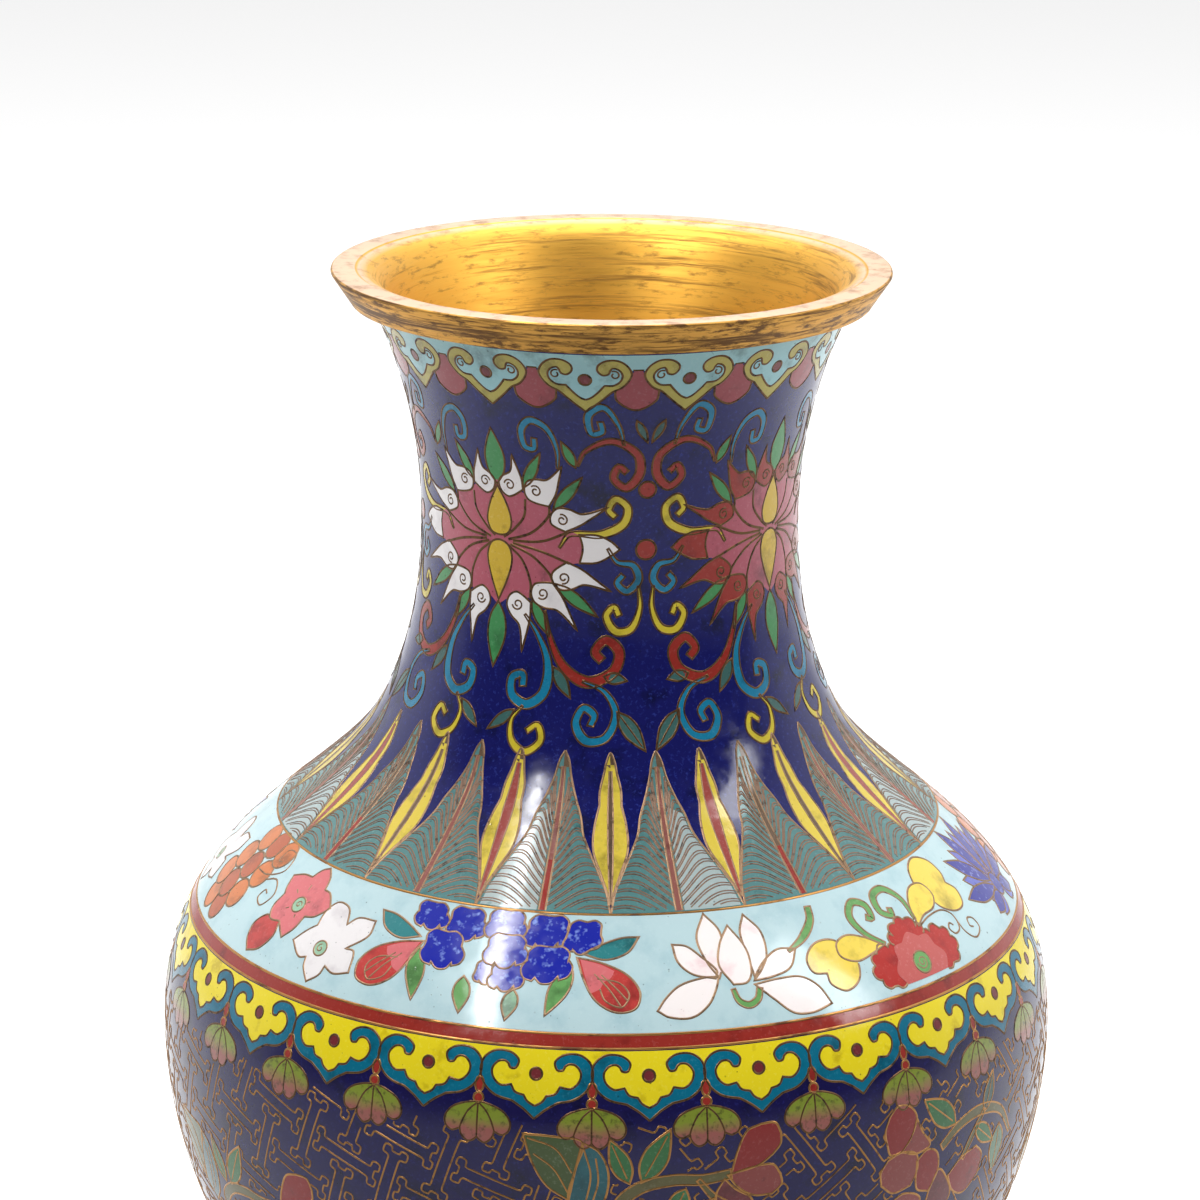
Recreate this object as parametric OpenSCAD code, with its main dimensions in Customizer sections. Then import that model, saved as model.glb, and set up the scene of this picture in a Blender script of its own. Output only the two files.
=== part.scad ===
// Cloisonne vase: a copper body of four raised sections brazed together, a gilt lip ring and
// foot ring, a base disc, and a skin of enamel bands kept apart by gilt ring wires.
// Every piece is a ring turned about +Z. The origin is on the resting face, on the axis.
// All sizes are in millimetres.

/* [Overall] */
// Height from the resting face to the top of the lip
vase_h = 300; // [250:1:400]
// Outer radius of the lip, at its top edge
lip_r = 48; // [46:0.5:62]
// Outer radius of the neck, where it is narrowest
neck_r = 32.7; // [26:0.1:37]
// Outer radius of the belly, where it is widest
belly_r = 78.8; // [62:0.1:100]
// Outer radius of the waist above the foot, where it is narrowest
waist_r = 42; // [34:0.5:47]
// Outer radius of the foot ring
foot_r = 51; // [49.5:0.5:64]

/* [Profile] */
// Drop from the seat of the lip ring to the narrowest neck
mouth_drop = 37.4; // [28:0.1:48]
// Outer radius of the wall at the seat of the lip ring
mouth_r = 41.3; // [38:0.1:44]
// Outward lean of the wall at the seat of the lip ring
mouth_lean = 0.49; // [0.2:0.01:0.7]
// Drop from the narrowest neck to the start of the shoulder
throat_drop = 36; // [28:0.5:46]
// Drop from the start of the shoulder to its middle
shoulder_drop = 25; // [20:0.5:32]
// Drop from the middle of the shoulder to the widest belly
belly_drop = 31; // [24:0.5:40]
// Drop from the widest belly to the lower belly
lower_drop = 40; // [32:0.5:50]
// Rise from the top of the foot ring to the waist
waist_rise = 30; // [22:0.5:38]
// Outer radius of the wall where it meets the foot ring
heel_r = 48.5; // [44:0.1:49]

/* [Curve shape] */
// Share of the swell from neck to belly reached at the start of the shoulder
throat_share = 0.175; // [0.1:0.005:0.25]
// Lean of the wall there, as a share of swell over shoulder_drop
throat_lean = 0.3; // [0.2:0.01:0.4]
// Share of the swell from neck to belly reached at mid shoulder
shoulder_share = 0.733; // [0.66:0.001:0.8]
// Lean of the wall there, as a share of swell over shoulder_drop
shoulder_lean = 0.523; // [0.4:0.001:0.6]
// Share of the swell from waist to belly kept at the lower belly
lower_share = 0.723; // [0.66:0.001:0.8]
// Lean of the wall there, as a share of swell over lower_drop
lower_lean = 0.565; // [0.45:0.005:0.65]
// Lean of the wall at the foot ring
heel_lean = 0.4; // [0.2:0.01:0.6]

/* [Wall] */
// Thickness of the enamel skin, square to the wall
enamel_t = 1; // [0.6:0.1:1.6]
// Thickness of the copper body, square to the wall
copper_t = 2.2; // [1.4:0.1:3]
// Length of each lap joint between two copper sections
lap_l = 4; // [3:0.5:6]
// Gap in a lap joint, filled with braze
braze_gap = 0.2; // [0.1:0.05:0.4]

/* [Lip ring] */
// Height of the lip ring's outer face
lip_h = 5.6; // [4.5:0.1:9]
// Width of the flat top of the lip
lip_w = 4.4; // [3:0.1:6]
// Outer radius of the lip ring at its lower edge
lip_skirt_r = 44.8; // [44.5:0.1:46]
// Rounding of the lip ring's edges
lip_round = 0.4; // [0.2:0.1:0.8]

/* [Foot ring and base] */
// Height of the foot ring's outer face
foot_h = 8; // [6:0.5:14]
// Width of the resting face
foot_w = 6; // [4:0.5:7]
// Rounding of the foot ring's edges
foot_round = 0.8; // [0.3:0.1:1.2]
// Height of the ledge that the base disc lies on
base_ledge_h = 5.2; // [4.5:0.1:5.6]
// Thickness of the base disc
base_t = 1.2; // [0.8:0.1:1.4]
// Clearance around the base disc
base_fit = 0.15; // [0.05:0.05:0.4]
// Least width of the ledge under the base disc
base_ledge_w = 0.4; // [0.4:0.1:2]

/* [Enamel bands] */
// Height of the lappet collar under the lip
collar_h = 13; // [10:0.5:16]
// Height of the lotus field on the neck
neck_field_h = 55; // [44:0.5:68]
// Height of the leaf band above the shoulder
leaf_band_h = 21.6; // [18:0.1:28]
// Height of the floral band on the shoulder
floral_band_h = 14.3; // [11:0.1:18]
// Height of the red line, above and below the belly
red_line_h = 1.5; // [1:0.1:3]
// Height of the lappet band at the top of the belly
top_lappet_h = 10.4; // [8:0.1:13]
// Height of the lappet band at the bottom of the belly
low_lappet_h = 10.4; // [8:0.1:13]
// Height of the hanging leaf band above the waist
low_leaf_h = 24; // [18:0.5:30]
// Height of the scroll field on the waist
waist_field_h = 31; // [24:0.5:40]
// Height of the lappet band on the heel
heel_band_h = 12; // [9:0.5:15]
// Width of a ring wire, along the axis
ring_wire_w = 0.9; // [0.5:0.1:1.5]
// How far a ring wire stands proud of the enamel
ring_wire_proud = 0.25; // [0.1:0.05:0.5]

/* [Hidden] */
$fn = 144;
level_step = 3;
tiny = 0.0001;
wall_t = enamel_t + copper_t;
braze_depth = enamel_t + copper_t / 2;

// ---- Outline of the wall ----------------------------------------------------------------

seat_h = vase_h - lip_h;
neck_level = seat_h - mouth_drop;
throat_level = neck_level - throat_drop;
shoulder_level = throat_level - shoulder_drop;
belly_level = shoulder_level - belly_drop;
lower_level = belly_level - lower_drop;
waist_level = foot_h + waist_rise;

upper_swell = belly_r - neck_r;
lower_swell = belly_r - waist_r;

// Each station is [height, outer radius, change of radius with height], from the foot up.
stations = [
    [foot_h, heel_r, -heel_lean],
    [waist_level, waist_r, 0],
    [lower_level, waist_r + lower_share * lower_swell, lower_lean * lower_swell / lower_drop],
    [belly_level, belly_r, 0],
    [shoulder_level, neck_r + shoulder_share * upper_swell, -shoulder_lean * upper_swell / shoulder_drop],
    [throat_level, neck_r + throat_share * upper_swell, -throat_lean * upper_swell / shoulder_drop],
    [neck_level, neck_r, 0],
    [seat_h, mouth_r, mouth_lean]
];

// Index of the stretch between two stations that holds height h.
function stretch(h, i = 0) =
    (i >= len(stations) - 2 || h <= stations[i + 1][0]) ? i : stretch(h, i + 1);

// Radius on the smooth cubic between stations a and b, at share t of the way up.
function cubic_r(a, b, t) =
    let (rise = b[0] - a[0])
    a[1] * (2 * t ^ 3 - 3 * t ^ 2 + 1) + a[2] * rise * (t ^ 3 - 2 * t ^ 2 + t)
    + b[1] * (3 * t ^ 2 - 2 * t ^ 3) + b[2] * rise * (t ^ 3 - t ^ 2);

// Lean of the same cubic.
function cubic_lean(a, b, t) =
    let (rise = b[0] - a[0])
    (b[1] - a[1]) * 6 * (t - t ^ 2) / rise
    + a[2] * (3 * t ^ 2 - 4 * t + 1) + b[2] * (3 * t ^ 2 - 2 * t);

// Point on the wall at height h of the outer face, at a depth square to that face.
function wall_point(h, depth) =
    let (
        i = stretch(h),
        a = stations[i],
        b = stations[i + 1],
        t = (h - a[0]) / (b[0] - a[0]),
        lean = cubic_lean(a, b, t),
        slant = sqrt(1 + lean * lean)
    )
    [cubic_r(a, b, t) - depth / slant, h + depth * lean / slant];

// ---- Heights of the bands, seams and ring wires -----------------------------------------

half_wire = ring_wire_w / 2;

// Down from the lip
wire_lip_h = seat_h - ring_wire_w;
collar_low = wire_lip_h - collar_h;
neck_field_low = collar_low - neck_field_h;
leaf_low = neck_field_low - leaf_band_h;
wire_shoulder_h = leaf_low - ring_wire_w;
floral_low = wire_shoulder_h - floral_band_h;
wire_red_top_h = floral_low - ring_wire_w;
red_upper_low = wire_red_top_h - red_line_h;
wire_red_bottom_h = red_upper_low - ring_wire_w;
top_lappet_low = wire_red_bottom_h - top_lappet_h;

// Up from the foot
wire_foot_h = foot_h;
heel_low = wire_foot_h + ring_wire_w;
wire_heel_h = heel_low + heel_band_h;
waist_field_low = wire_heel_h + ring_wire_w;
low_leaf_low = waist_field_low + waist_field_h;
wire_low_bottom_h = low_leaf_low + low_leaf_h;
red_lower_low = wire_low_bottom_h + ring_wire_w;
wire_low_top_h = red_lower_low + red_line_h;
low_lappet_low = wire_low_top_h + ring_wire_w;
belly_field_low = low_lappet_low + low_lappet_h;

// Seams of the copper body, each hidden under a ring wire or at the widest belly
seam_foot = wire_low_bottom_h + half_wire;
seam_belly = belly_level;
seam_neck = wire_shoulder_h + half_wire;

// ---- Levels shared by every piece, so that pieces meet face to face -----------------------

function sorted(list) =
    len(list) <= 1 ? list :
    let (
        pivot = list[floor(len(list) / 2)],
        below = [for (v = list) if (v < pivot - tiny) v],
        above = [for (v = list) if (v > pivot + tiny) v]
    )
    concat(sorted(below), [pivot], sorted(above));

edges = sorted([
    foot_h, heel_low, wire_heel_h, waist_field_low, low_leaf_low, wire_low_bottom_h, red_lower_low,
    wire_low_top_h, low_lappet_low, belly_field_low, top_lappet_low, wire_red_bottom_h,
    red_upper_low, wire_red_top_h, floral_low, wire_shoulder_h, leaf_low, neck_field_low,
    collar_low, wire_lip_h, seat_h,
    seam_foot, seam_foot - lap_l, seam_belly, seam_belly - lap_l, seam_neck, seam_neck - lap_l
]);

levels = [
    for (i = [0 : len(edges) - 2])
        let (
            rise = edges[i + 1] - edges[i],
            steps = ceil(rise / level_step)
        )
        for (k = [0 : steps - 1]) edges[i] + rise * k / steps,
    edges[len(edges) - 1]
];

function levels_within(low, high) = [for (h = levels) if (h > low - tiny && h < high + tiny) h];

function reversed(list) = [for (i = [len(list) - 1 : -1 : 0]) list[i]];

function face_up(low, high, depth) = [for (h = levels_within(low, high)) wall_point(h, depth)];

function face_down(low, high, depth) = reversed(face_up(low, high, depth));

// Points on the curve from a to c that is drawn towards b.
function bend(a, b, c, steps = 8) =
    [for (k = [0 : steps]) let (t = k / steps) (1 - t) ^ 2 * a + 2 * t * (1 - t) * b + t ^ 2 * c];

// Points on a quarter round between two directions about a centre.
function quarter(centre, radius, from, to, steps = 4) =
    [for (k = [0 : steps])
        let (angle = from + (to - from) * k / steps)
        centre + radius * [cos(angle), sin(angle)]];

// ---- Pieces -------------------------------------------------------------------------------

// A layer of the wall between two heights and two depths.
module wall_layer(low, high, outer_depth, inner_depth) {
    rotate_extrude()
        polygon(concat(face_up(low, high, outer_depth), face_down(low, high, inner_depth)));
}

// A copper section. Its skirt laps outside the section below, and its tongue inside the one above.
module copper_section(low, high, has_skirt, has_tongue) {
    skirt_low = has_skirt ? low - lap_l : low;
    full_high = has_tongue ? high - lap_l : high;
    tongue = has_tongue ? face_up(full_high, high, braze_depth + braze_gap / 2) : [];
    skirt = has_skirt ? face_down(skirt_low, low, braze_depth - braze_gap / 2) : [];
    rotate_extrude()
        polygon(concat(
            face_up(skirt_low, full_high, enamel_t),
            tongue,
            face_down(low, high, wall_t),
            skirt
        ));
}

module braze_ring(seam) {
    wall_layer(seam - lap_l, seam, braze_depth - braze_gap / 2, braze_depth + braze_gap / 2);
}

module ring_wire(low) {
    wall_layer(low, low + ring_wire_w, -ring_wire_proud, enamel_t);
}

module enamel_band(low, high) {
    wall_layer(low, high, 0, enamel_t);
}

module lip_ring() {
    seat_out = wall_point(seat_h, 0);
    seat_in = wall_point(seat_h, wall_t);
    lip_inner_r = lip_r - lip_w;
    color("goldenrod")
        rotate_extrude()
            polygon(concat(
                [seat_in, seat_out],
                quarter([lip_skirt_r - lip_round, seat_h + lip_round], lip_round, -90, -20),
                quarter([lip_r - lip_round, vase_h - lip_round], lip_round, -20, 90),
                quarter([lip_inner_r + lip_round, vase_h - lip_round], lip_round, 90, 140),
                bend([lip_inner_r, vase_h - 2 * lip_round], (seat_in + [lip_inner_r, vase_h]) / 2 + [0, -0.5],
                    seat_in)
            ));
}

base_seat_r = wall_point(foot_h, wall_t)[0];

module foot_ring() {
    heel_out = wall_point(foot_h, -ring_wire_proud);
    heel_in = wall_point(foot_h, wall_t);
    foot_inner_r = min(foot_r - foot_w, base_seat_r - base_ledge_w);
    color("goldenrod")
        rotate_extrude()
            polygon(concat(
                quarter([foot_inner_r + foot_round, foot_round], foot_round, 180, 270),
                quarter([foot_r - foot_round, foot_round], foot_round, -90, 0),
                bend([foot_r, foot_h / 2], [foot_r, foot_h * 0.8], heel_out),
                [heel_in, [base_seat_r, base_ledge_h], [foot_inner_r, base_ledge_h]]
            ));
}

module base_disc() {
    color("darkgoldenrod")
        translate([0, 0, base_ledge_h])
            cylinder(r = base_seat_r - base_fit, h = base_t);
}

module foot_shell() {
    color("peru") copper_section(foot_h, seam_foot, false, true);
}

module bowl_shell() {
    color("peru") copper_section(seam_foot, seam_belly, true, true);
}

module shoulder_shell() {
    color("peru") copper_section(seam_belly, seam_neck, true, true);
}

module neck_shell() {
    color("gold") copper_section(seam_neck, seat_h, true, false);
}

module braze_foot() {
    color("silver") braze_ring(seam_foot);
}

module braze_belly() {
    color("silver") braze_ring(seam_belly);
}

module braze_neck() {
    color("silver") braze_ring(seam_neck);
}

module collar_enamel() {
    color("powderblue") enamel_band(collar_low, wire_lip_h);
}

module neck_enamel() {
    color("midnightblue") enamel_band(neck_field_low, collar_low);
}

module leaf_enamel() {
    color("cadetblue") enamel_band(leaf_low, neck_field_low);
}

module floral_enamel() {
    color("lightblue") enamel_band(floral_low, wire_shoulder_h);
}

module red_line_upper() {
    color("firebrick") enamel_band(red_upper_low, wire_red_top_h);
}

module top_lappet_enamel() {
    color("gold") enamel_band(top_lappet_low, wire_red_bottom_h);
}

module belly_enamel() {
    color("navy") enamel_band(belly_field_low, top_lappet_low);
}

module low_lappet_enamel() {
    color("gold") enamel_band(low_lappet_low, belly_field_low);
}

module red_line_lower() {
    color("firebrick") enamel_band(red_lower_low, wire_low_top_h);
}

module low_leaf_enamel() {
    color("cadetblue") enamel_band(low_leaf_low, wire_low_bottom_h);
}

module waist_enamel() {
    color("midnightblue") enamel_band(waist_field_low, low_leaf_low);
}

module heel_enamel() {
    color("powderblue") enamel_band(heel_low, wire_heel_h);
}

module wire_lip() {
    color("goldenrod") ring_wire(wire_lip_h);
}

module wire_shoulder() {
    color("goldenrod") ring_wire(wire_shoulder_h);
}

module wire_red_top() {
    color("goldenrod") ring_wire(wire_red_top_h);
}

module wire_red_bottom() {
    color("goldenrod") ring_wire(wire_red_bottom_h);
}

module wire_low_top() {
    color("goldenrod") ring_wire(wire_low_top_h);
}

module wire_low_bottom() {
    color("goldenrod") ring_wire(wire_low_bottom_h);
}

module wire_heel() {
    color("goldenrod") ring_wire(wire_heel_h);
}

module wire_foot() {
    color("goldenrod") ring_wire(wire_foot_h);
}

base_disc();
foot_ring();
foot_shell();
bowl_shell();
shoulder_shell();
neck_shell();
lip_ring();
braze_foot();
braze_belly();
braze_neck();
collar_enamel();
neck_enamel();
leaf_enamel();
floral_enamel();
red_line_upper();
top_lappet_enamel();
belly_enamel();
low_lappet_enamel();
red_line_lower();
low_leaf_enamel();
waist_enamel();
heel_enamel();
wire_lip();
wire_shoulder();
wire_red_top();
wire_red_bottom();
wire_low_top();
wire_low_bottom();
wire_heel();
wire_foot();
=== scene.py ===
import math

import bpy
import numpy as np
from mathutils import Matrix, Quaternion, Vector
from mathutils.geometry import delaunay_2d_cdt

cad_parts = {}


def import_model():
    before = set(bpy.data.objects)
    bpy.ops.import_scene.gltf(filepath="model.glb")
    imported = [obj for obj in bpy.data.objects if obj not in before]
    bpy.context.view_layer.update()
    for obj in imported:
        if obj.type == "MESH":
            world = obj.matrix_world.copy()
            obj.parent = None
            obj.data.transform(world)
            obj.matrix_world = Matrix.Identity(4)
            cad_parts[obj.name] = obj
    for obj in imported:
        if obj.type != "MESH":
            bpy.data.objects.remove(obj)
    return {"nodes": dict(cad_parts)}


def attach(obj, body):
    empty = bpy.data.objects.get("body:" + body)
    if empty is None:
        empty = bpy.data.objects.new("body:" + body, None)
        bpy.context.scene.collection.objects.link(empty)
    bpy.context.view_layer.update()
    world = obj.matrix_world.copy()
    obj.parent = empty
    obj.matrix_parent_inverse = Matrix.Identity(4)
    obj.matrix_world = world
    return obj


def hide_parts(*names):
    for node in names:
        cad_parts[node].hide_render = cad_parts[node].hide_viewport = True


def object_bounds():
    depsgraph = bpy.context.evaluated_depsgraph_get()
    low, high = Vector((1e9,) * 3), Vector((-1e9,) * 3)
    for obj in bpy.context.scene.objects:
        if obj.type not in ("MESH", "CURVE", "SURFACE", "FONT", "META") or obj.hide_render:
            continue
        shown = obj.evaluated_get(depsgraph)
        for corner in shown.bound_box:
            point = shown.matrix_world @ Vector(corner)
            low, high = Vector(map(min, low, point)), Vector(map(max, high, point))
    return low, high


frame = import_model()
cad_low, cad_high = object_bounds()
NODES = frame["nodes"]

# The drawings below are in millimetres. MM turns them into Blender's metres.
MM = 0.001
TOP = float(cad_high[2]) / MM    # height of the lip's flat top
SEGMENTS = 480          # straight pieces round each turned part
STEP = 0.4              # spacing of points along a drawn curve
COIL_STEP = 0.3         # spacing of points along a small coil
SCROLL_STEP = 0.45      # spacing of points along a scroll
CELL = 1.15             # spacing of the inside points of a filled cell
ROW = 1.0               # spacing of the rows of points up a ground
WIRE_W = 0.38           # width of a cloison wire
THIN_W = 0.8 * WIRE_W   # width of the wires of coils and ribs
VEIN_W = 0.46           # width of the lotus's veins
BARB_W = 0.26           # width of the leaves' vein wires
FRET_W = 0.3            # width of the fret's wires
CURL_W = 0.34           # width of the curled wires beside the border's flowers
FINE_W = 0.3            # width of the veins in buds and leaves
RAY_W = 0.28            # width of the rays in the border's coral flower
ABOVE = 9               # level of a wire that no cell hides
WIRE_PROUD = 0.07       # height of a wire above the ground
SUNK = 0.35             # depth of wires and fills below the ground
ENAMEL_T = 1.0          # thickness of the enamel, as the ends of each band show
GROUND_T = 0.97         # thickness of a ground
RING_W = 0.44           # width of the bright edge of a ring wire
RING_PROUD = 0.12       # height of a ring wire above the ground
RING_STAND = 0.25       # height of the CAD ring wires above the ground
RING_LAP = 0.45         # enamel that laps over each side of a ring wire
RED_SHIFT = 0.2         # how far a ring wire stands towards the red line beside it
LEVELS = (0.006, 0.02, 0.035, 0.05)       # heights of the fills that lie over each other
DARK_BANDS = ("collar", "neck", "lotus")  # bands whose wires are darker


# ---- Outline of the wall, read from the CAD nodes ---------------------------------------------

def ring_sections(node):
    """Rings of a turned CAD node as (radius, height) in mm, and which rings a mesh edge joins."""
    mesh = NODES[node].data
    points = np.zeros(len(mesh.vertices) * 3)
    mesh.vertices.foreach_get("co", points)
    points = points.reshape(-1, 3) / MM
    flat = np.stack([np.hypot(points[:, 0], points[:, 1]), points[:, 2]], axis=1)
    rings = []
    owner = np.zeros(len(flat), int)
    for index, spot in enumerate(flat):
        for number, ring in enumerate(rings):
            if abs(ring[0] - spot[0]) < 0.003 and abs(ring[1] - spot[1]) < 0.003:
                owner[index] = number
                break
        else:
            owner[index] = len(rings)
            rings.append((spot[0], spot[1]))
    links = {number: set() for number in range(len(rings))}
    for edge in mesh.edges:
        first, second = owner[edge.vertices[0]], owner[edge.vertices[1]]
        if first != second:
            links[first].add(second)
            links[second].add(first)
    return rings, links


def outline_of(node):
    """The closed outline of a turned CAD node, as (radius, height) points in order."""
    rings, links = ring_sections(node)
    order = [max(links, key=lambda number: rings[number][0])]
    while True:
        onward = [number for number in sorted(links[order[-1]]) if number not in order]
        if not onward:
            break
        order.append(onward[0])
    outline = np.array([rings[number] for number in order])
    if area_of(outline) < 0:
        outline = outline[::-1]
    return outline


def area_of(outline):
    """Signed area inside a flat outline. It is positive anticlockwise."""
    x, y = outline[:, 0], outline[:, 1]
    return 0.5 * float(np.sum(x * np.roll(y, -1) - y * np.roll(x, -1)))


ENAMEL_NODES = sorted(name for name in NODES if name.endswith("_enamel") or name.startswith("red_line"))
OUTLINES = {name: outline_of(name) for name in ENAMEL_NODES}


def outer_side(outline):
    """The outer face of a wall band's outline, as (height, radius) from the bottom up.

    The outline runs anticlockwise: up the outer face, over the top end, down the inner face."""
    edges = np.roll(outline, -1, axis=0) - outline
    lengths = np.linalg.norm(edges, axis=1)
    along = edges / lengths[:, None]
    turns_in = np.sum(along * np.roll(along, 1, axis=0), axis=1) < 0.5
    ends = np.flatnonzero((abs(lengths - ENAMEL_T) < 0.04) & turns_in & np.roll(turns_in, -1))
    count = len(outline)
    best = []
    for start, stop in ((ends[0], ends[-1]), (ends[-1], ends[0])):
        chain = [outline[k % count] for k in range(start + 1, start + 1 + (stop - start) % count)]
        if not best or chain[-1][1] - chain[0][1] > best[-1][1] - best[0][1]:
            best = chain
    return [(float(height), float(radius)) for radius, height in best]


BAND_SIDES = {name: outer_side(OUTLINES[name]) for name in ENAMEL_NODES}
wall_points = sorted(point for side in BAND_SIDES.values() for point in side)
wall_points = [p for i, p in enumerate(wall_points) if i == 0 or p[0] - wall_points[i - 1][0] > 0.02]
KNOT_H = np.array([p[0] for p in wall_points])
KNOT_R = np.array([p[1] for p in wall_points])
KNOT_LEAN = np.gradient(KNOT_R, KNOT_H)


def wall_radius(height):
    """Radius of the enamel face at a height, and its change with height."""
    height = np.asarray(height, float)
    i = np.clip(np.searchsorted(KNOT_H, height) - 1, 0, len(KNOT_H) - 2)
    rise = KNOT_H[i + 1] - KNOT_H[i]
    t = (height - KNOT_H[i]) / rise
    r_a, r_b = KNOT_R[i], KNOT_R[i + 1]
    m_a, m_b = KNOT_LEAN[i] * rise, KNOT_LEAN[i + 1] * rise
    radius = (
        r_a * (2 * t**3 - 3 * t**2 + 1) + m_a * (t**3 - 2 * t**2 + t)
        + r_b * (3 * t**2 - 2 * t**3) + m_b * (t**3 - t**2)
    )
    lean = (
        (r_b - r_a) * 6 * (t - t**2) + m_a * (3 * t**2 - 4 * t + 1) + m_b * (3 * t**2 - 2 * t)
    ) / rise
    return radius, lean


TABLE_H = np.linspace(KNOT_H[0], KNOT_H[-1], 6000)
TABLE_R = wall_radius(TABLE_H)[0]
TABLE_S = np.concatenate([[0], np.cumsum(np.hypot(np.diff(TABLE_H), np.diff(TABLE_R)))])


def arc_at(height):
    """Length along the wall from the foot up to a height."""
    return np.interp(height, TABLE_H, TABLE_S)


def height_at(arc):
    """Height that a length along the wall comes up to."""
    return np.interp(arc, TABLE_S, TABLE_H)


def on_wall(angle, height, lift):
    """Points and outward directions on the wall. Angle 0 faces -Y, and grows towards +X."""
    radius, lean = wall_radius(height)
    slant = np.sqrt(1 + lean**2)
    out_r, out_h = 1 / slant, -lean / slant
    reach = radius + lift * out_r
    points = np.stack([reach * np.sin(angle), -reach * np.cos(angle), height + lift * out_h], axis=1)
    normals = np.stack([out_r * np.sin(angle), -out_r * np.cos(angle), out_h], axis=1)
    return points, normals


class Chart:
    """Lays a flat drawing on the wall: x runs to the right and y up, in mm, from one spot."""

    def __init__(self, degrees, height, mirror=False, turn=0.0):
        self.angle = math.radians(degrees)
        self.height = height
        self.arc = arc_at(height)
        self.mirror = mirror
        self.turn = math.radians(turn)

    def wall(self, flat):
        """Angles and heights on the wall of points in the drawing."""
        x = -flat[:, 0] if self.mirror else flat[:, 0]
        y = flat[:, 1]
        across = x * math.cos(self.turn) - y * math.sin(self.turn)
        up = x * math.sin(self.turn) + y * math.cos(self.turn)
        height = height_at(self.arc + up)
        return self.angle + across / wall_radius(height)[0], height

    def spot(self, degrees, height):
        """Where a place on the wall lies in the drawing. Degrees count from the chart's own."""
        return (math.radians(degrees) * float(wall_radius(height)[0]), float(arc_at(height) - self.arc))


# ---- Curves for the drawings --------------------------------------------------------------------

def curve(points, closed=False, step=STEP):
    """A smooth curve through points. A third entry of 1 makes a point a sharp corner."""
    spots = [np.array(p[:2], float) for p in points]
    sharp = [len(p) > 2 for p in points]
    count = len(spots)
    result = []
    for i in range(count if closed else count - 1):
        j = (i + 1) % count
        a, b = spots[i], spots[j]
        span = np.linalg.norm(b - a)
        slope_a = slope_b = b - a
        if not sharp[i] and (closed or i > 0):
            before = spots[i - 1]
            slope_a = (b - before) * span / (span + np.linalg.norm(a - before))
        if not sharp[j] and (closed or j < count - 1):
            after = spots[(j + 1) % count]
            slope_b = (after - a) * span / (span + np.linalg.norm(after - b))
        steps = max(1, math.ceil(span / step))
        for k in range(steps):
            t = k / steps
            result.append(
                a * (2 * t**3 - 3 * t**2 + 1) + slope_a * (t**3 - 2 * t**2 + t)
                + b * (3 * t**2 - 2 * t**3) + slope_b * (t**3 - t**2)
            )
    if not closed:
        result.append(spots[-1])
    return np.array(result)


def lines(points):
    """Straight lines through points, with points along them so that they follow the wall."""
    return curve([(p[0], p[1], 1) for p in points])


def mirrored(points):
    """Adds the left half to the right half of an outline that starts and ends at x = 0."""
    left = [(-p[0],) + tuple(p[1:]) for p in reversed(points) if abs(p[0]) > 1e-6]
    return list(points) + left


def circle(x, y, radius, radius_y=None):
    """A circle, or an ellipse with its height given too."""
    radius_y = radius_y or radius
    count = max(10, math.ceil(2 * math.pi * radius / STEP))
    angles = np.arange(count) * 2 * math.pi / count
    return np.stack([x + radius * np.cos(angles), y + radius_y * np.sin(angles)], axis=1)


def spiral(x, y, outer, inner, start, turns):
    """A coil from its outer end in to its middle. Start is in degrees; turns < 0 go clockwise."""
    count = max(8, math.ceil(abs(turns) * math.pi * (outer + inner) / COIL_STEP))
    share = np.linspace(0, 1, count)
    angles = math.radians(start) + share * turns * 2 * math.pi
    radius = outer + (inner - outer) * share
    return np.stack([x + radius * np.cos(angles), y + radius * np.sin(angles)], axis=1)


def sides_of(path):
    """Unit vectors to the left of each point of a path."""
    ahead = np.gradient(path, axis=0)
    ahead /= np.maximum(np.linalg.norm(ahead, axis=1, keepdims=True), 1e-9)
    return np.stack([-ahead[:, 1], ahead[:, 0]], axis=1)


def moved_to(points, x, y, turn=0.0):
    """A copy of an outline turned about its origin, and then moved."""
    points = np.asarray(points, float)
    c, s = math.cos(math.radians(turn)), math.sin(math.radians(turn))
    across, up = points[:, 0], points[:, 1]
    return np.stack([x + across * c - up * s, y + across * s + up * c], axis=1)


def leaf(length, width, belly=0.5):
    """A leaf that points up from the origin, sharp at both ends."""
    half = width / 2
    return curve(mirrored([
        (0, 0, 1), (half * 0.8, length * belly * 0.45), (half, length * belly),
        (half * 0.62, length * (belly + 1) / 2), (0, length, 1)
    ]), closed=True)


def inside(outline, spots):
    """Which spots lie inside an outline."""
    x, y = spots[:, 0][:, None], spots[:, 1][:, None]
    x_a, y_a = outline[:, 0], outline[:, 1]
    x_b, y_b = np.roll(x_a, -1), np.roll(y_a, -1)
    crosses = (y_a > y) != (y_b > y)
    with np.errstate(divide="ignore", invalid="ignore"):
        reach = (x_b - x_a) * (y - y_a) / (y_b - y_a) + x_a
    return (np.sum(crosses & (x < reach), axis=1) % 2).astype(bool)


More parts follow.
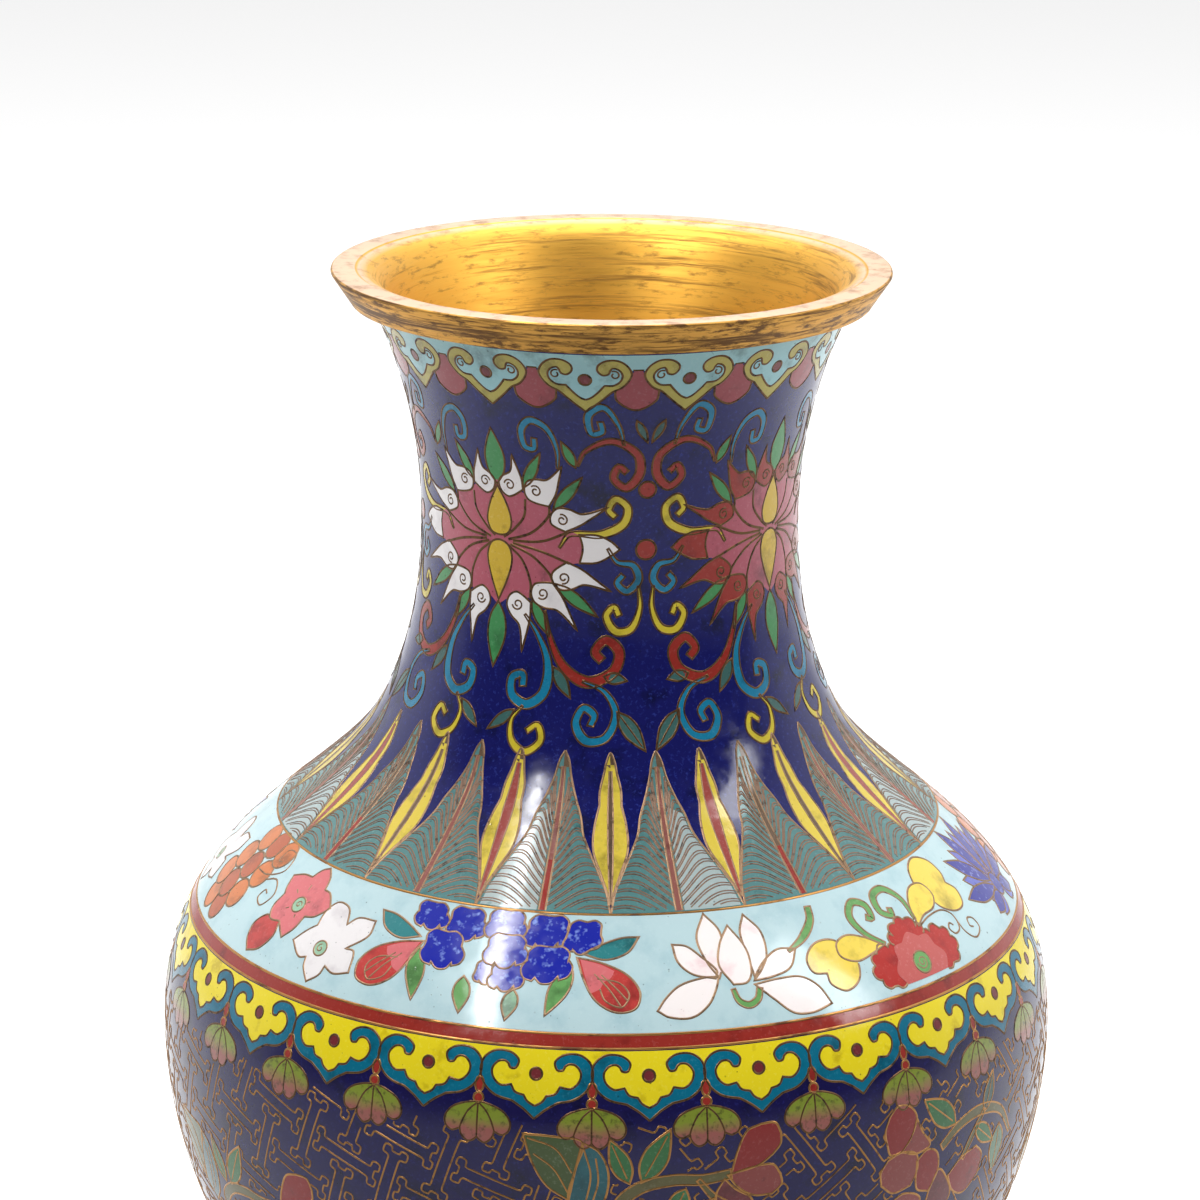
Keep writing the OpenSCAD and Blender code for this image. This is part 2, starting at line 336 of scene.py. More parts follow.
def triangles_in(outline):
    """Fills an outline with triangles small enough to follow the wall."""
    low, high = outline.min(axis=0), outline.max(axis=0)
    rows = []
    row = 0
    y = low[1] + CELL / 2
    while y < high[1]:
        x = np.arange(low[0] + (CELL / 2 if row % 2 else CELL), high[0], CELL)
        rows.append(np.stack([x, np.full(len(x), y)], axis=1))
        y += CELL * 0.87
        row += 1
    spots = np.concatenate(rows) if rows else np.zeros((0, 2))
    if len(spots):
        spots = spots[inside(outline, spots)]
    if len(spots):
        gaps = np.linalg.norm(spots[:, None, :] - outline[None, :, :], axis=2).min(axis=1)
        spots = spots[gaps > CELL * 0.45]
    count = len(outline)
    points = [Vector(p) for p in outline] + [Vector(p) for p in spots]
    edges = [(i, (i + 1) % count) for i in range(count)]
    found = delaunay_2d_cdt(points, edges, [], 1, 1e-5)
    flat = np.array([tuple(p) for p in found[0]])
    return flat, np.array([tuple(f) for f in found[2]], int)


def rim_edges(triangles):
    """Edges that only one triangle has, in that triangle's direction."""
    edges = np.concatenate([triangles[:, [0, 1]], triangles[:, [1, 2]], triangles[:, [2, 0]]])
    keys = {}
    for a, b in edges.tolist():
        keys[(a, b)] = keys.get((a, b), 0) + 1
    return np.array([(a, b) for (a, b) in keys if (b, a) not in keys], int)


# ---- Layers: one mesh for each band and finish --------------------------------------------------

class Layer:
    """Collects the faces of one piece."""

    def __init__(self):
        self.points = []
        self.corners = []
        self.sizes = []
        self.normals = []
        self.count = 0

    def add_points(self, points):
        """Takes points in mm, and says what number the first one has."""
        self.points.append(points)
        start = self.count
        self.count += len(points)
        return start

    def add_faces(self, start, faces, normals):
        """Takes faces as an array of point numbers from start, and a direction for each corner."""
        self.corners.append((faces + start).reshape(-1))
        self.sizes.append(np.full(len(faces), faces.shape[1]))
        self.normals.append(normals.reshape(-1, 3))

    def build(self, name):
        """Makes the piece from the faces so far."""
        points = np.concatenate(self.points) * MM
        corners = np.concatenate(self.corners)
        sizes = np.concatenate(self.sizes)
        normals = np.concatenate(self.normals)
        mesh = bpy.data.meshes.new(name)
        mesh.vertices.add(len(points))
        mesh.vertices.foreach_set("co", points.reshape(-1))
        mesh.loops.add(len(corners))
        mesh.loops.foreach_set("vertex_index", corners.astype(np.int32))
        mesh.polygons.add(len(sizes))
        starts = np.concatenate([[0], np.cumsum(sizes)[:-1]])
        mesh.polygons.foreach_set("loop_start", starts.astype(np.int32))
        mesh.polygons.foreach_set("use_smooth", np.ones(len(sizes), bool))
        mesh.update(calc_edges=True)
        mesh.normals_split_custom_set(normals.tolist())
        piece = bpy.data.objects.new(name, mesh)
        bpy.context.scene.collection.objects.link(piece)
        return piece


LAYERS = {}


def layer(band, finish):
    """The layer of a band and finish, made when it is first asked for."""
    if finish == "wire" and band in DARK_BANDS:
        finish = "dark_wire"
    if (band, finish) not in LAYERS:
        LAYERS[(band, finish)] = Layer()
    return LAYERS[(band, finish)]


def face_normals(points, faces):
    """The outward direction of each face."""
    a, b, c = points[faces[:, 0]], points[faces[:, 1]], points[faces[:, 2]]
    normal = np.cross(b - a, c - a)
    return normal / np.maximum(np.linalg.norm(normal, axis=1, keepdims=True), 1e-12)


def slab(target, chart, flat, faces, rim, level):
    """A thin closed solid that follows the wall, with its top at one of the LEVELS."""
    angle, height = chart.wall(flat)
    top, normals = on_wall(angle, height, LEVELS[level])
    bottom = on_wall(angle, height, -SUNK)[0]
    count = len(flat)
    ups = faces[:, ::-1] if chart.mirror else faces
    edges = rim[:, ::-1] if chart.mirror else rim
    sides = np.stack([edges[:, 1], edges[:, 0], edges[:, 0] + count, edges[:, 1] + count], axis=1)
    both = np.concatenate([top, bottom])
    start = target.add_points(both)
    target.add_faces(start, ups, normals[ups])
    target.add_faces(start, ups[:, ::-1] + count, -normals[ups[:, ::-1]])
    target.add_faces(start, sides, np.repeat(face_normals(both, sides), 4, axis=0))


def fill(band, finish, outline, charts, level=1):
    """A cell of enamel, at each chart."""
    flat, triangles = triangles_in(np.asarray(outline, float))
    if not len(triangles):
        return
    rim = rim_edges(triangles)
    target = layer(band, finish)
    for chart in charts:
        slab(target, chart, flat, triangles, rim, level)


# Cross-section of a wire: place across its width, height, and direction of the face there.
WIRE_SHAPE = np.array([(-0.5, -1.0), (-0.5, 0.45), (-0.22, 1.0), (0.22, 1.0), (0.5, 0.45), (0.5, -1.0)])


def wire(band, path, charts, closed=False, finish="wire", width=WIRE_W):
    """A cloison wire on edge along a path, at each chart."""
    path = np.asarray(path, float)
    keep = np.ones(len(path), bool)
    keep[1:] = np.linalg.norm(np.diff(path, axis=0), axis=1) > 1e-4
    path = path[keep]
    if closed and np.linalg.norm(path[0] - path[-1]) < 1e-4:
        path = path[:-1]
    target = layer(band, finish)
    count, around = len(path), len(WIRE_SHAPE)
    lifts = np.where(WIRE_SHAPE[:, 1] > 0, WIRE_SHAPE[:, 1] * WIRE_PROUD, WIRE_SHAPE[:, 1] * SUNK)
    for chart in charts:
        angle, height = chart.wall(path)
        spots, normals = on_wall(angle, height, 0.0)
        if closed:
            ahead = np.roll(spots, -1, axis=0) - spots
            behind = spots - np.roll(spots, 1, axis=0)
        else:
            steps = np.diff(spots, axis=0)
            ahead = np.concatenate([steps, steps[-1:]])
            behind = np.concatenate([steps[:1], steps])
        ahead /= np.linalg.norm(ahead, axis=1, keepdims=True)
        behind /= np.linalg.norm(behind, axis=1, keepdims=True)
        along = ahead + behind
        size = np.linalg.norm(along, axis=1, keepdims=True)
        along = np.where(size > 0.2, along / np.maximum(size, 1e-9), ahead)
        miter = np.clip(1 / np.maximum(size / 2, 0.4), 1, 1.8)
        side = np.cross(along, normals)
        side /= np.linalg.norm(side, axis=1, keepdims=True)
        rings = []
        directions = []
        for place, lift in zip(WIRE_SHAPE[:, 0], lifts):
            rings.append(spots + side * (place * width) * miter + normals * lift)
            tilt = side * (place * 1.6) + normals * (1.0 if lift > 0 else 0.1)
            directions.append(tilt / np.linalg.norm(tilt, axis=1, keepdims=True))
        rings = np.stack(rings, axis=1).reshape(-1, 3)
        directions = np.stack(directions, axis=1).reshape(-1, 3)
        i = np.arange(count if closed else count - 1)
        j = (i + 1) % count
        quads = []
        for k in range(around):
            m = (k + 1) % around
            quads.append(np.stack([i * around + k, i * around + m, j * around + m, j * around + k], axis=1))
        quads = np.concatenate(quads)
        start = target.add_points(rings)
        target.add_faces(start, quads, directions[quads])
        if not closed:
            cap = np.arange(around)
            ends = np.stack([cap[::-1], cap + (count - 1) * around])
            facing = np.stack([-behind[0], ahead[-1]])
            target.add_faces(start, ends, np.repeat(facing, around, axis=0))


def cell(band, finish, outline, charts, level=1, metal="wire"):
    """A filled cell with a wire round it."""
    fill(band, finish, outline, charts, level)
    wire(band, outline, charts, closed=True, finish=metal)


def scroll(band, finish, points, charts, width=1.25, thin=0.35, level=1, metal="wire"):
    """A ribbon of enamel along a curve, with a wire round it. It is thin at its start."""
    path = curve(points, step=SCROLL_STEP)
    reach = np.concatenate([[0], np.cumsum(np.linalg.norm(np.diff(path, axis=0), axis=1))])
    share = reach / reach[-1]
    swell = np.minimum(1, share * 2.2) * (1 - 0.35 * np.maximum(0, share - 0.6) / 0.4)
    half = 0.5 * (thin + (width - thin) * swell)[:, None]
    left = path + sides_of(path) * half
    right = path - sides_of(path) * half
    outline = np.concatenate([left, right[::-1]])
    strip(band, finish, left, right, charts, level)
    wire(band, outline, charts, closed=True, finish=metal, width=WIRE_W * 0.85)


def strip(band, finish, left, right, charts, level=1):
    """Enamel between two edge curves that have the same number of points."""
    count = len(left)
    flat = np.concatenate([right, left])
    i = np.arange(count - 1)
    quads = np.stack([i, i + 1, i + 1 + count, i + count], axis=1)
    rim = np.concatenate([
        np.stack([i, i + 1], axis=1),
        np.stack([i + 1 + count, i + count], axis=1),
        np.array([[count - 1, 2 * count - 1], [count, 0]])
    ])
    target = layer(band, finish)
    for chart in charts:
        slab(target, chart, flat, quads, rim, level)


# ---- Turned pieces ------------------------------------------------------------------------------

def turned(band, finish, outline, sharp=35.0):
    """Revolves a closed (radius, height) outline, anticlockwise, about the axis."""
    outline = np.asarray(outline, float)
    count = len(outline)
    edge = np.roll(outline, -1, axis=0) - outline
    edge /= np.maximum(np.linalg.norm(edge, axis=1, keepdims=True), 1e-12)
    out = np.stack([edge[:, 1], -edge[:, 0]], axis=1)
    back = np.roll(out, 1, axis=0)
    smooth = np.sum(out * back, axis=1) > math.cos(math.radians(sharp))
    blend = out + back
    blend /= np.maximum(np.linalg.norm(blend, axis=1, keepdims=True), 1e-12)
    first = np.where(smooth[:, None], blend, out)
    second = np.where(np.roll(smooth, -1)[:, None], np.roll(blend, -1, axis=0), out)
    angles = np.arange(SEGMENTS) * 2 * math.pi / SEGMENTS
    sine, cosine = np.sin(angles), -np.cos(angles)

    def spun(pairs):
        """The (radius, height) pairs at each of the angles."""
        return np.stack([
            pairs[None, :, 0] * sine[:, None],
            pairs[None, :, 0] * cosine[:, None],
            np.broadcast_to(pairs[None, :, 1], (SEGMENTS, len(pairs)))
        ], axis=2)

    points = spun(outline).reshape(-1, 3)
    i = np.arange(SEGMENTS)[:, None]
    k = np.arange(count)[None, :]
    i_next, k_next = (i + 1) % SEGMENTS, (k + 1) % count
    quads = np.stack([
        (i * count + k), (i_next * count + k), (i_next * count + k_next), (i * count + k_next)
    ], axis=2).reshape(-1, 4)
    starts, ends = spun(first), spun(second)
    after = np.roll(np.arange(SEGMENTS), -1)
    normals = np.stack([starts, starts[after], ends[after], ends], axis=2).reshape(-1, 3)
    target = layer(band, finish)
    start = target.add_points(points)
    target.add_faces(start, quads, normals)


def ground(node, band, finish):
    """The plain enamel of a band: a ring that follows the wall and stands for the CAD node."""
    side = BAND_SIDES[node]
    low, high = side[0][0] - RING_LAP, side[-1][0] + RING_LAP
    rows = max(2, math.ceil((high - low) / ROW))
    heights = np.linspace(low, high, rows + 1)
    outer = np.stack([wall_radius(heights)[0], heights], axis=1)
    inner_h = heights[::-2] if rows % 2 == 0 else heights[::-1]
    radius, lean = wall_radius(inner_h)
    slant = np.sqrt(1 + lean**2)
    inner = np.stack([radius - GROUND_T / slant, inner_h + GROUND_T * lean / slant], axis=1)
    turned(band, finish, np.concatenate([outer, inner]))


def turned_copy(node, band, finish):
    """A finely turned copy of a CAD node."""
    turned(band, finish, outline_of(node))


def ring_wire(node):
    """A ring wire on edge, with the enamel of its neighbours lapped over its sides."""
    outline = outline_of(node)
    lean = float(wall_radius(outline[:, 1].mean())[1])
    out = np.array([1, -lean]) / math.hypot(1, lean)
    reach = outline @ out
    face = outline[reach > reach.max() - 0.3]
    middle = float(face[:, 1].mean()) - RING_STAND * out[1]
    for line in ("red_line_upper", "red_line_lower"):
        side = BAND_SIDES[line]
        red = (side[0][0] + side[-1][0]) / 2
        if abs(red - middle) < 2:
            middle += math.copysign(RED_SHIFT, red - middle)
    radius, lean = wall_radius(middle)
    slant = math.sqrt(1 + float(lean)**2)
    out = np.array([1, -float(lean)]) / slant
    along = np.array([float(lean), 1]) / slant
    centre = np.array([float(radius), middle])
    half = [(0.12, 1.0), (0.34, 0.7), (0.5, 0.0), (0.5, -0.9)]
    places = []
    for place, lift in [(-x, y) for x, y in reversed(half)] + half:
        rise = lift * (RING_PROUD if lift > 0 else 1.0)
        places.append(centre + along * (place * RING_W) + out * rise)
    turned(node, "ring_gilt", places, sharp=50)


# ---- Bands --------------------------------------------------------------------------------------

DRAWINGS = []


def bare_runs(bare, closed, shortest=3):
    """Stretches of a path that are bare, each with whether it is the whole closed path."""
    count = len(bare)
    if bare.all():
        return [(np.arange(count), closed)]
    first = int(np.argmin(bare)) if closed else 0
    runs, run = [], []
    for index in [(first + k) % count for k in range(count)]:
        if bare[index]:
            run.append(index)
            continue
        runs.append(run)
        run = []
    runs.append(run)
    return [(np.array(run), False) for run in runs if len(run) >= shortest]


class Drawing:
    """A motif drawn once in places of (degrees, height below the lip), and laid at each turn."""

    def __init__(self, band, centre, level, turns, flips=(False,), metal="wire"):
        self.band = band
        self.centre = centre
        self.metal = metal
        self.base = Chart(centre, TOP + level)
        self.charts = [Chart(centre + turn, TOP + level, mirror=flip) for flip in flips for turn in turns]
        self.covers = []
        self.wires = []
        DRAWINGS.append(self)

    def at(self, places):
        """Places as points of the drawing, in mm."""
        return [self.base.spot(p[0] - self.centre, TOP + p[1]) + tuple(p[2:]) for p in places]

    def outlined(self, finish, outline, level):
        """A cell whose wire is drawn once all the cells are known."""
        fill(self.band, finish, outline, self.charts, level)
        self.covers.append((outline, level))
        self.wires.append((outline, True, level, WIRE_W))

    def close(self):
        """Draws the wires, and leaves out what a higher cell hides."""
        for path, closed, level, width in self.wires:
            bare = np.ones(len(path), bool)
            for outline, height in self.covers:
                if height > level:
                    bare &= ~inside(outline, path)
            for run, whole in bare_runs(bare, closed):
                wire(self.band, path[run], self.charts, whole, self.metal, width)

    def cell(self, finish, places, level=1):
        """A cell with a wire round it."""
        self.outlined(finish, curve(self.at(places), closed=True), level)

    def fill(self, finish, places, level=1):
        """A cell without a wire."""
        outline = curve(self.at(places), closed=True)
        fill(self.band, finish, outline, self.charts, level)
        self.covers.append((outline, level))

    def wire(self, places, width):
        """A wire through places."""
        self.wires.append((curve(self.at(places)), False, ABOVE, width))

    def scroll(self, finish, places, width=1.25, thin=0.35, level=1):
        """A ribbon with a wire round it."""
        scroll(self.band, finish, self.at(places), self.charts, width, thin, level, self.metal)

    def disc(self, finish, degrees, down, radius, level=2):
        """A round cell with a wire round it."""
        x, y = self.base.spot(degrees - self.centre, TOP + down)
        self.outlined(finish, circle(x, y, radius), level)

    def coil(self, degrees, down, outer, inner, start, turns):
        """A coiled wire."""
        x, y = self.base.spot(degrees - self.centre, TOP + down)
        wire(self.band, spiral(x, y, outer, inner, start, turns), self.charts, False, self.metal, THIN_W)

    def between(self, base, tip):
        """Where a leaf between two places starts, its length and its turn from upright."""
        (x_a, y_a), (x_b, y_b) = self.at([base, tip])
        turn = math.degrees(math.atan2(y_b - y_a, x_b - x_a)) - 90
        return (x_a, y_a), math.hypot(x_b - x_a, y_b - y_a), turn

    def leaf(self, finish, base, tip, width, level=1, vein=False):
        """A leaf between two places."""
        start, length, turn = self.between(base, tip)
        self.outlined(finish, moved_to(leaf(length, width), *start, turn), level)
        if vein:
            rib = moved_to(lines([(0, length * 0.12), (0, length * 0.88)]), *start, turn)
            wire(self.band, rib, self.charts, False, self.metal, WIRE_W * 0.7)


def collar():
    """Lappets that hang from the lip, with red half-discs between them."""
    band, count, first, tip = "collar", 14, -6.4, -17.0
    pitch = 360 / count
    ground("collar_enamel", band, "cobalt")
    turns = [first + pitch * k for k in range(count)]
    middles = [turn + pitch / 2 for turn in turns]
    lappets = [Chart(turn, TOP + tip) for turn in turns]
    halves = lappets + [Chart(turn, TOP + tip, mirror=True) for turn in turns]
    gaps = [Chart(turn, TOP + tip) for turn in middles]
    rim = arc_at(BAND_SIDES["collar_enamel"][-1][0]) - lappets[0].arc - 0.1
    outer = [
        (0, 0, 1), (1.9, 1.6), (4.4, 3.9, 1), (6.3, 5.0), (7.7, 7.2), (7.1, 9.0), (5.6, 10.1),
        (3.7, 10.1), (2.3, 9.2), (2.1, 8.1), (2.9, 7.2), (3.9, 7.4), (4.2, 8.1, 1)
    ]
    inner = [
        (4.6, 8.6), (5.6, 8.3), (6.2, 7.3), (5.9, 6.1), (4.8, 5.2), (3.2, 5.1, 1), (2.0, 3.7), (0.9, 2.7),
        (0, 2.3, 1)
    ]
    within = [
        (0, 1.2, 1), (2.6, 3.4), (5.4, 4.8), (7.0, 7.0), (6.4, 8.8), (4.6, 9.5), (3.0, rim, 1), (0, rim, 1)
    ]
    fill(band, "collar_blue", curve(within, closed=True), halves, 1)
    fill(band, "olive", curve(outer + inner, closed=True), halves, 2)
    wire(band, curve(outer + inner), halves)
    cell(band, "maroon", circle(0, 6.2, 1.05), lappets, 2)
    wire(band, spiral(-4.9, 7.2, 0.9, 0.35, 60, 1.0), lappets, width=THIN_W)
    wire(band, spiral(4.9, 7.2, 0.9, 0.35, 120, -1.0), lappets, width=THIN_W)
    disc = [
        (-3.7, 4.3, 1), (-3.2, 2.1), (0, 0.35), (3.2, 2.1), (3.7, 4.3, 1), (1.6, 6.4), (0.6, 8.2, 1),
        (-0.6, 8.2, 1), (-1.6, 6.4)
    ]
    fill(band, "rose", curve(disc, closed=True), gaps, 1)
    wire(band, curve(disc[:5]), gaps)
    corner = [
        (-6.1, rim, 1), (-4.6, 9.7), (-2.8, 9.4), (-1.3, 8.1, 1), (1.3, 8.1, 1), (2.8, 9.4), (4.6, 9.7),
        (6.1, rim, 1)
    ]
    fill(band, "collar_blue", curve(corner, closed=True), gaps, 1)
    wire(band, lines([(-0.9, 8.2), (0.9, 8.2)]), gaps, width=THIN_W)


# Curled tip of a lotus petal: the lobe's middle is the origin, and the horn points along x.
PETAL_TIP = [
    (6.9, 0, 1), (3.1, -0.1), (1.5, -1.5), (0, -2.1), (-1.5, -1.4), (-2.1, 0), (-1.5, 1.4), (-0.1, 3.2, 1),
    (2.2, 2.6), (4.6, 1.3)
]
# Each petal: middle of its lobe, tip of its horn, and its outer shoulder, from the flower's middle.
PETALS = [
    ((2.5, 9.8), (3.5, 15.3), (4.9, 8.7)),
    ((7.3, 9.2), (12.3, 14.0), (9.5, 6.7)),
    ((11.7, 4.5), (19.5, 7.0), (12.8, 2.7)),
    ((11.9, -5.5), (19.9, -7.5), (13.1, -2.9)),
    ((8.3, -8.5), (14.6, -14.3), (10.2, -6.7)),
    ((3.8, -10.8), (5.2, -18.7), (6.1, -9.6))
]


def petal_frame(lobe, horn, shoulder):
    """Turns the petal tip's own points into the flower's, so that its shoulder comes outside."""
    lobe, horn, shoulder = np.array(lobe), np.array(horn), np.array(shoulder)
    along = horn - lobe
    length = np.linalg.norm(along)
    along = along / length
    across = np.array([-along[1], along[0]])
    if np.dot(shoulder - lobe, across) < 0:
        across = -across
    reach = np.dot(shoulder - lobe, across) / 3.2
    points = []
    for p in PETAL_TIP:
        x = p[0] * length / 6.9 if p[0] > 0 else p[0]
        y = p[1] * reach if p[1] > 1.15 else p[1]
        points.append(tuple(lobe + along * x + across * y) + tuple(p[2:]))
    return points, along, across


def lotus(axes, tips, level):
    """Lotus flowers on the neck, each drawn as one half and its mirror image."""
    band = "lotus"
    charts = [Chart(axis, TOP + level) for axis in axes]
    halves = charts + [Chart(axis, TOP + level, mirror=True) for axis in axes]
    heart = [
        (0, 10.5, 1), (1.3, 8.6), (4.6, 8.8), (6.0, 8.0), (9.4, 6.9), (10.4, 4.4), (12.8, 2.8),
        (14.8, 2.0, 1), (15.1, -0.3), (14.8, -2.7, 1), (13.0, -3.2), (10.5, -5.0), (10.1, -6.6),
        (7.0, -7.6), (6.0, -9.4), (2.4, -9.8), (0, -11.4, 1)
    ]
    fill(band, "pink", curve(heart, closed=True), halves, 1)
    for root, tip, width in (((5.0, 9.5), (8.8, 16.2), 1.9), ((10.2, 6.2), (15.6, 12.3), 1.9),
                             ((10.5, -6.6), (17.9, -11.9), 2.0), ((6.4, -9.8), (9.9, -15.6), 1.9)):
        length = math.dist(root, tip)
        turn = math.degrees(math.atan2(tip[1] - root[1], tip[0] - root[0])) - 90
        cell(band, "green", moved_to(leaf(length, width), root[0], root[1], turn), halves, 1)
    for lobe, horn, shoulder in PETALS:
        points, along, across = petal_frame(lobe, horn, shoulder)
        cell(band, tips, curve(points, closed=True), halves, 2)
        start = math.degrees(math.atan2(-across[1], -across[0]))
        turn = 1.25 if along[0] * across[1] - along[1] * across[0] > 0 else -1.25
        wire(band, spiral(lobe[0], lobe[1], 1.05, 0.3, start, turn), halves, width=THIN_W)
    side_tip = [
        (14.6, 2.1, 1), (17.5, 2.1), (19.8, 1.1), (21.3, -0.3, 1), (19.8, -1.4), (17.5, -2.6),
        (14.6, -2.8, 1), (15.1, -0.3)
    ]
    cell(band, tips, curve(side_tip, closed=True), halves, 2)
    for vein in (
        [(0.9, 0.4), (2.7, 1.8), (4.9, 4.5), (5.3, 7.6)],
        [(1.8, 0.1), (6.2, 1.8), (9.3, 4.9), (9.6, 6.7)],
        [(2.7, 0), (8.0, 0.5), (12.6, 2.4)],
        [(2.7, -0.4), (8.0, -1.3), (12.9, -3.0)],
        [(2.2, -0.7), (6.2, -2.2), (9.3, -4.9), (10.2, -6.7)],
        [(1.8, -0.9), (4.4, -3.1), (6.0, -6.7), (6.1, -9.6)]
    ):
        wire(band, curve(vein), halves, width=VEIN_W)
    upper = [(0, 0.7), (1.7, 1.2), (2.45, 3.2), (1.7, 6.2), (0, 9.4, 1)]
    lower = [(0, -0.2), (1.7, -0.9), (2.5, -3.2), (1.7, -6.6), (0, -10.6, 1)]
    for drop in (upper, lower):
        cell(band, "drop_yellow", curve(mirrored(drop), closed=True), charts, 2)
    cell(band, "green", moved_to(leaf(10.2, 3.9), 0, 9.6), charts, 1)
    cell(band, "green", moved_to(leaf(11.2, 3.6), 0, -10.8, 180), charts, 1)


def neck():
    """Four lotus flowers with scrolls between them."""
    band, first = "neck", -34.4
    ground("neck_enamel", band, "cobalt")
    axes = [first + 90 * k for k in range(4)]
    lotus(axes[::2], "white", -41.1)
    lotus(axes[1::2], "brick", -41.1)
    vines = Drawing(band, 0, -41.1, axes, (False, True))
    for finish, width, places in (
        ("turquoise", 1.3, [
            (38, -23), (36.5, -19.6), (32.5, -16.2), (28.6, -17.6), (29.2, -20.9), (32, -20.6),
            (31.6, -18.8)
        ]),
        ("turquoise", 1.3, [
            (19.5, -27.5), (19.5, -24), (16.9, -20.4), (12.6, -19.2), (9.7, -21), (10.2, -24),
            (12.8, -24.3), (13.2, -22.4)
        ]),
        ("brick", 1.5, [
            (25.2, -26.8), (27.5, -24.2), (34.8, -22.3), (41.6, -24.6), (42.6, -28), (38.9, -30.6),
            (35.3, -28.9), (36.8, -26.9), (38.9, -27.9)
        ]),
        ("lemon", 1.45, [
            (19.5, -41.4), (22.7, -39), (31.8, -38.8), (38.2, -37), (39.4, -34.2), (36, -32.6), (34, -34.5),
            (35.9, -35.8)
        ]),
        ("turquoise", 1.3, [
            (33.8, -41.3), (36.6, -43.6), (41.2, -44.2), (42.8, -46.6), (39.5, -48.6), (36.6, -47.2),
            (38.3, -45.8)
        ]),
        ("lemon", 1.35, [
            (42.8, -47.8), (43.2, -51.5), (40.6, -55), (36.2, -55.4), (33.5, -52.8), (35.7, -51.3),
            (37.2, -52.8)
        ]),
        ("brick", 1.9, [
            (15.3, -52.5), (16.9, -56.5), (21.2, -61.3), (28.3, -63.9), (35.4, -62.2), (37.2, -58.9),
            (33.4, -56.9), (30.4, -58.8), (32.4, -60.3)
        ]),
        ("turquoise", 1.75, [
            (9.2, -53.5), (13.4, -56.5), (16.9, -61), (16.4, -66), (11.9, -68.2), (7.3, -67), (6.7, -64.2),
            (9.7, -63.5), (10.2, -65.4)
        ]),
        ("lemon", 1.35, [
            (10.8, -68.6), (8.2, -71), (9.3, -74.2), (13.3, -75.6), (16.9, -73.7), (15.6, -71.3),
            (12.9, -72.4)
        ]),
        ("turquoise", 1.5, [
            (27.2, -63.8), (33.2, -65.4), (36.2, -69), (33.6, -72.7), (28.6, -73.2), (25.8, -70.6),
            (27.6, -68.1), (30.5, -69.2), (29.6, -70.9)
        ])
    ):
        vines.scroll(finish, places, width)
    vines.leaf("sage", (8.6, -69.3), (1.7, -73), 1.8)
    vines.leaf("sage", (18.6, -61.7), (23.9, -66.6), 1.9)
    vines.leaf("sage", (33, -62.9), (39.3, -63.6), 1.8)
    vines.leaf("sage", (36.6, -68.6), (43.6, -74.8), 2.4, vein=True)
    vines.leaf("sage", (41.2, -18.6), (44.4, -22.6), 1.4)
    vines.leaf("green", (24.6, -27.2), (20.8, -22.6), 1.7)
    middle = Drawing(band, 45, -36, axes)
    middle.disc("brick", 45, -31, 1.45)
    middle.disc("brick", 45, -41.5, 1.7)


def barb_paths(half, long, across):
    """Pairs of curved vein wires in the right half of a teal leaf."""
    paths = []
    for k in range(17):
        low = (-3.6 + 1.38 * k) * long
        for gap in (0.0, 0.48):
            path = []
            for share in np.linspace(0, 1, 9):
                up = low + gap + (5.2 * math.sin(share * 1.75) - 1.3 * share) * long
                reach = np.interp(up / long, [p[1] for p in half], [p[0] for p in half])
                x = 0.75 + (across(reach, up) - 0.95) * share
                if -0.1 < up < 21 * long:
                    path.append((x, up))
            if len(path) > 3:
                paths.append(curve(path, step=1.0))
    return paths


def yellow_leaves(band, leaves, long, across):
    """Slim yellow leaves, each with an umber tip. Their midribs are thin and broad by turns."""
    slim = [
        (0, 1.2, 1), (0.8, 3.6), (1.9, 6.4), (3.1, 9.2), (3.4, 11.4), (3.1, 14.2), (2.35, 16.8, 1),
        (2.3, 19.2), (1.5, 21.6), (0.95, 23.3), (0, 24.6)
    ]
    slim = [(across(p[0], p[1] * long), p[1] * long) + p[2:] for p in slim]
    cell(band, "leaf_yellow", curve(mirrored(slim), closed=True), leaves, 2)
    tip = [(across(1.1, 22.9 * long), 22.9 * long, 1), (0, 24.6 * long), (0, 22.4 * long, 1)]
    fill(band, "umber", curve(mirrored(tip), closed=True), leaves, 3)
    thin = [(0.12, 1.2), (0.38, 8 * long), (0.42, 16 * long), (0.2, 22 * long)]
    broad = [(0.2, 1.2), (0.6, 8 * long), (0.85, 16 * long), (0.3, 22.4 * long)]
    for rib, finish, charts in ((thin, "umber", leaves[::2]), (broad, "worn_red", leaves[1::2])):
        right_side = curve(rib)
        left_side = right_side * np.array([-1, 1])
        strip(band, finish, left_side, right_side, charts, 3)
        wire(band, right_side, charts, width=THIN_W)
        wire(band, left_side, charts, width=THIN_W)


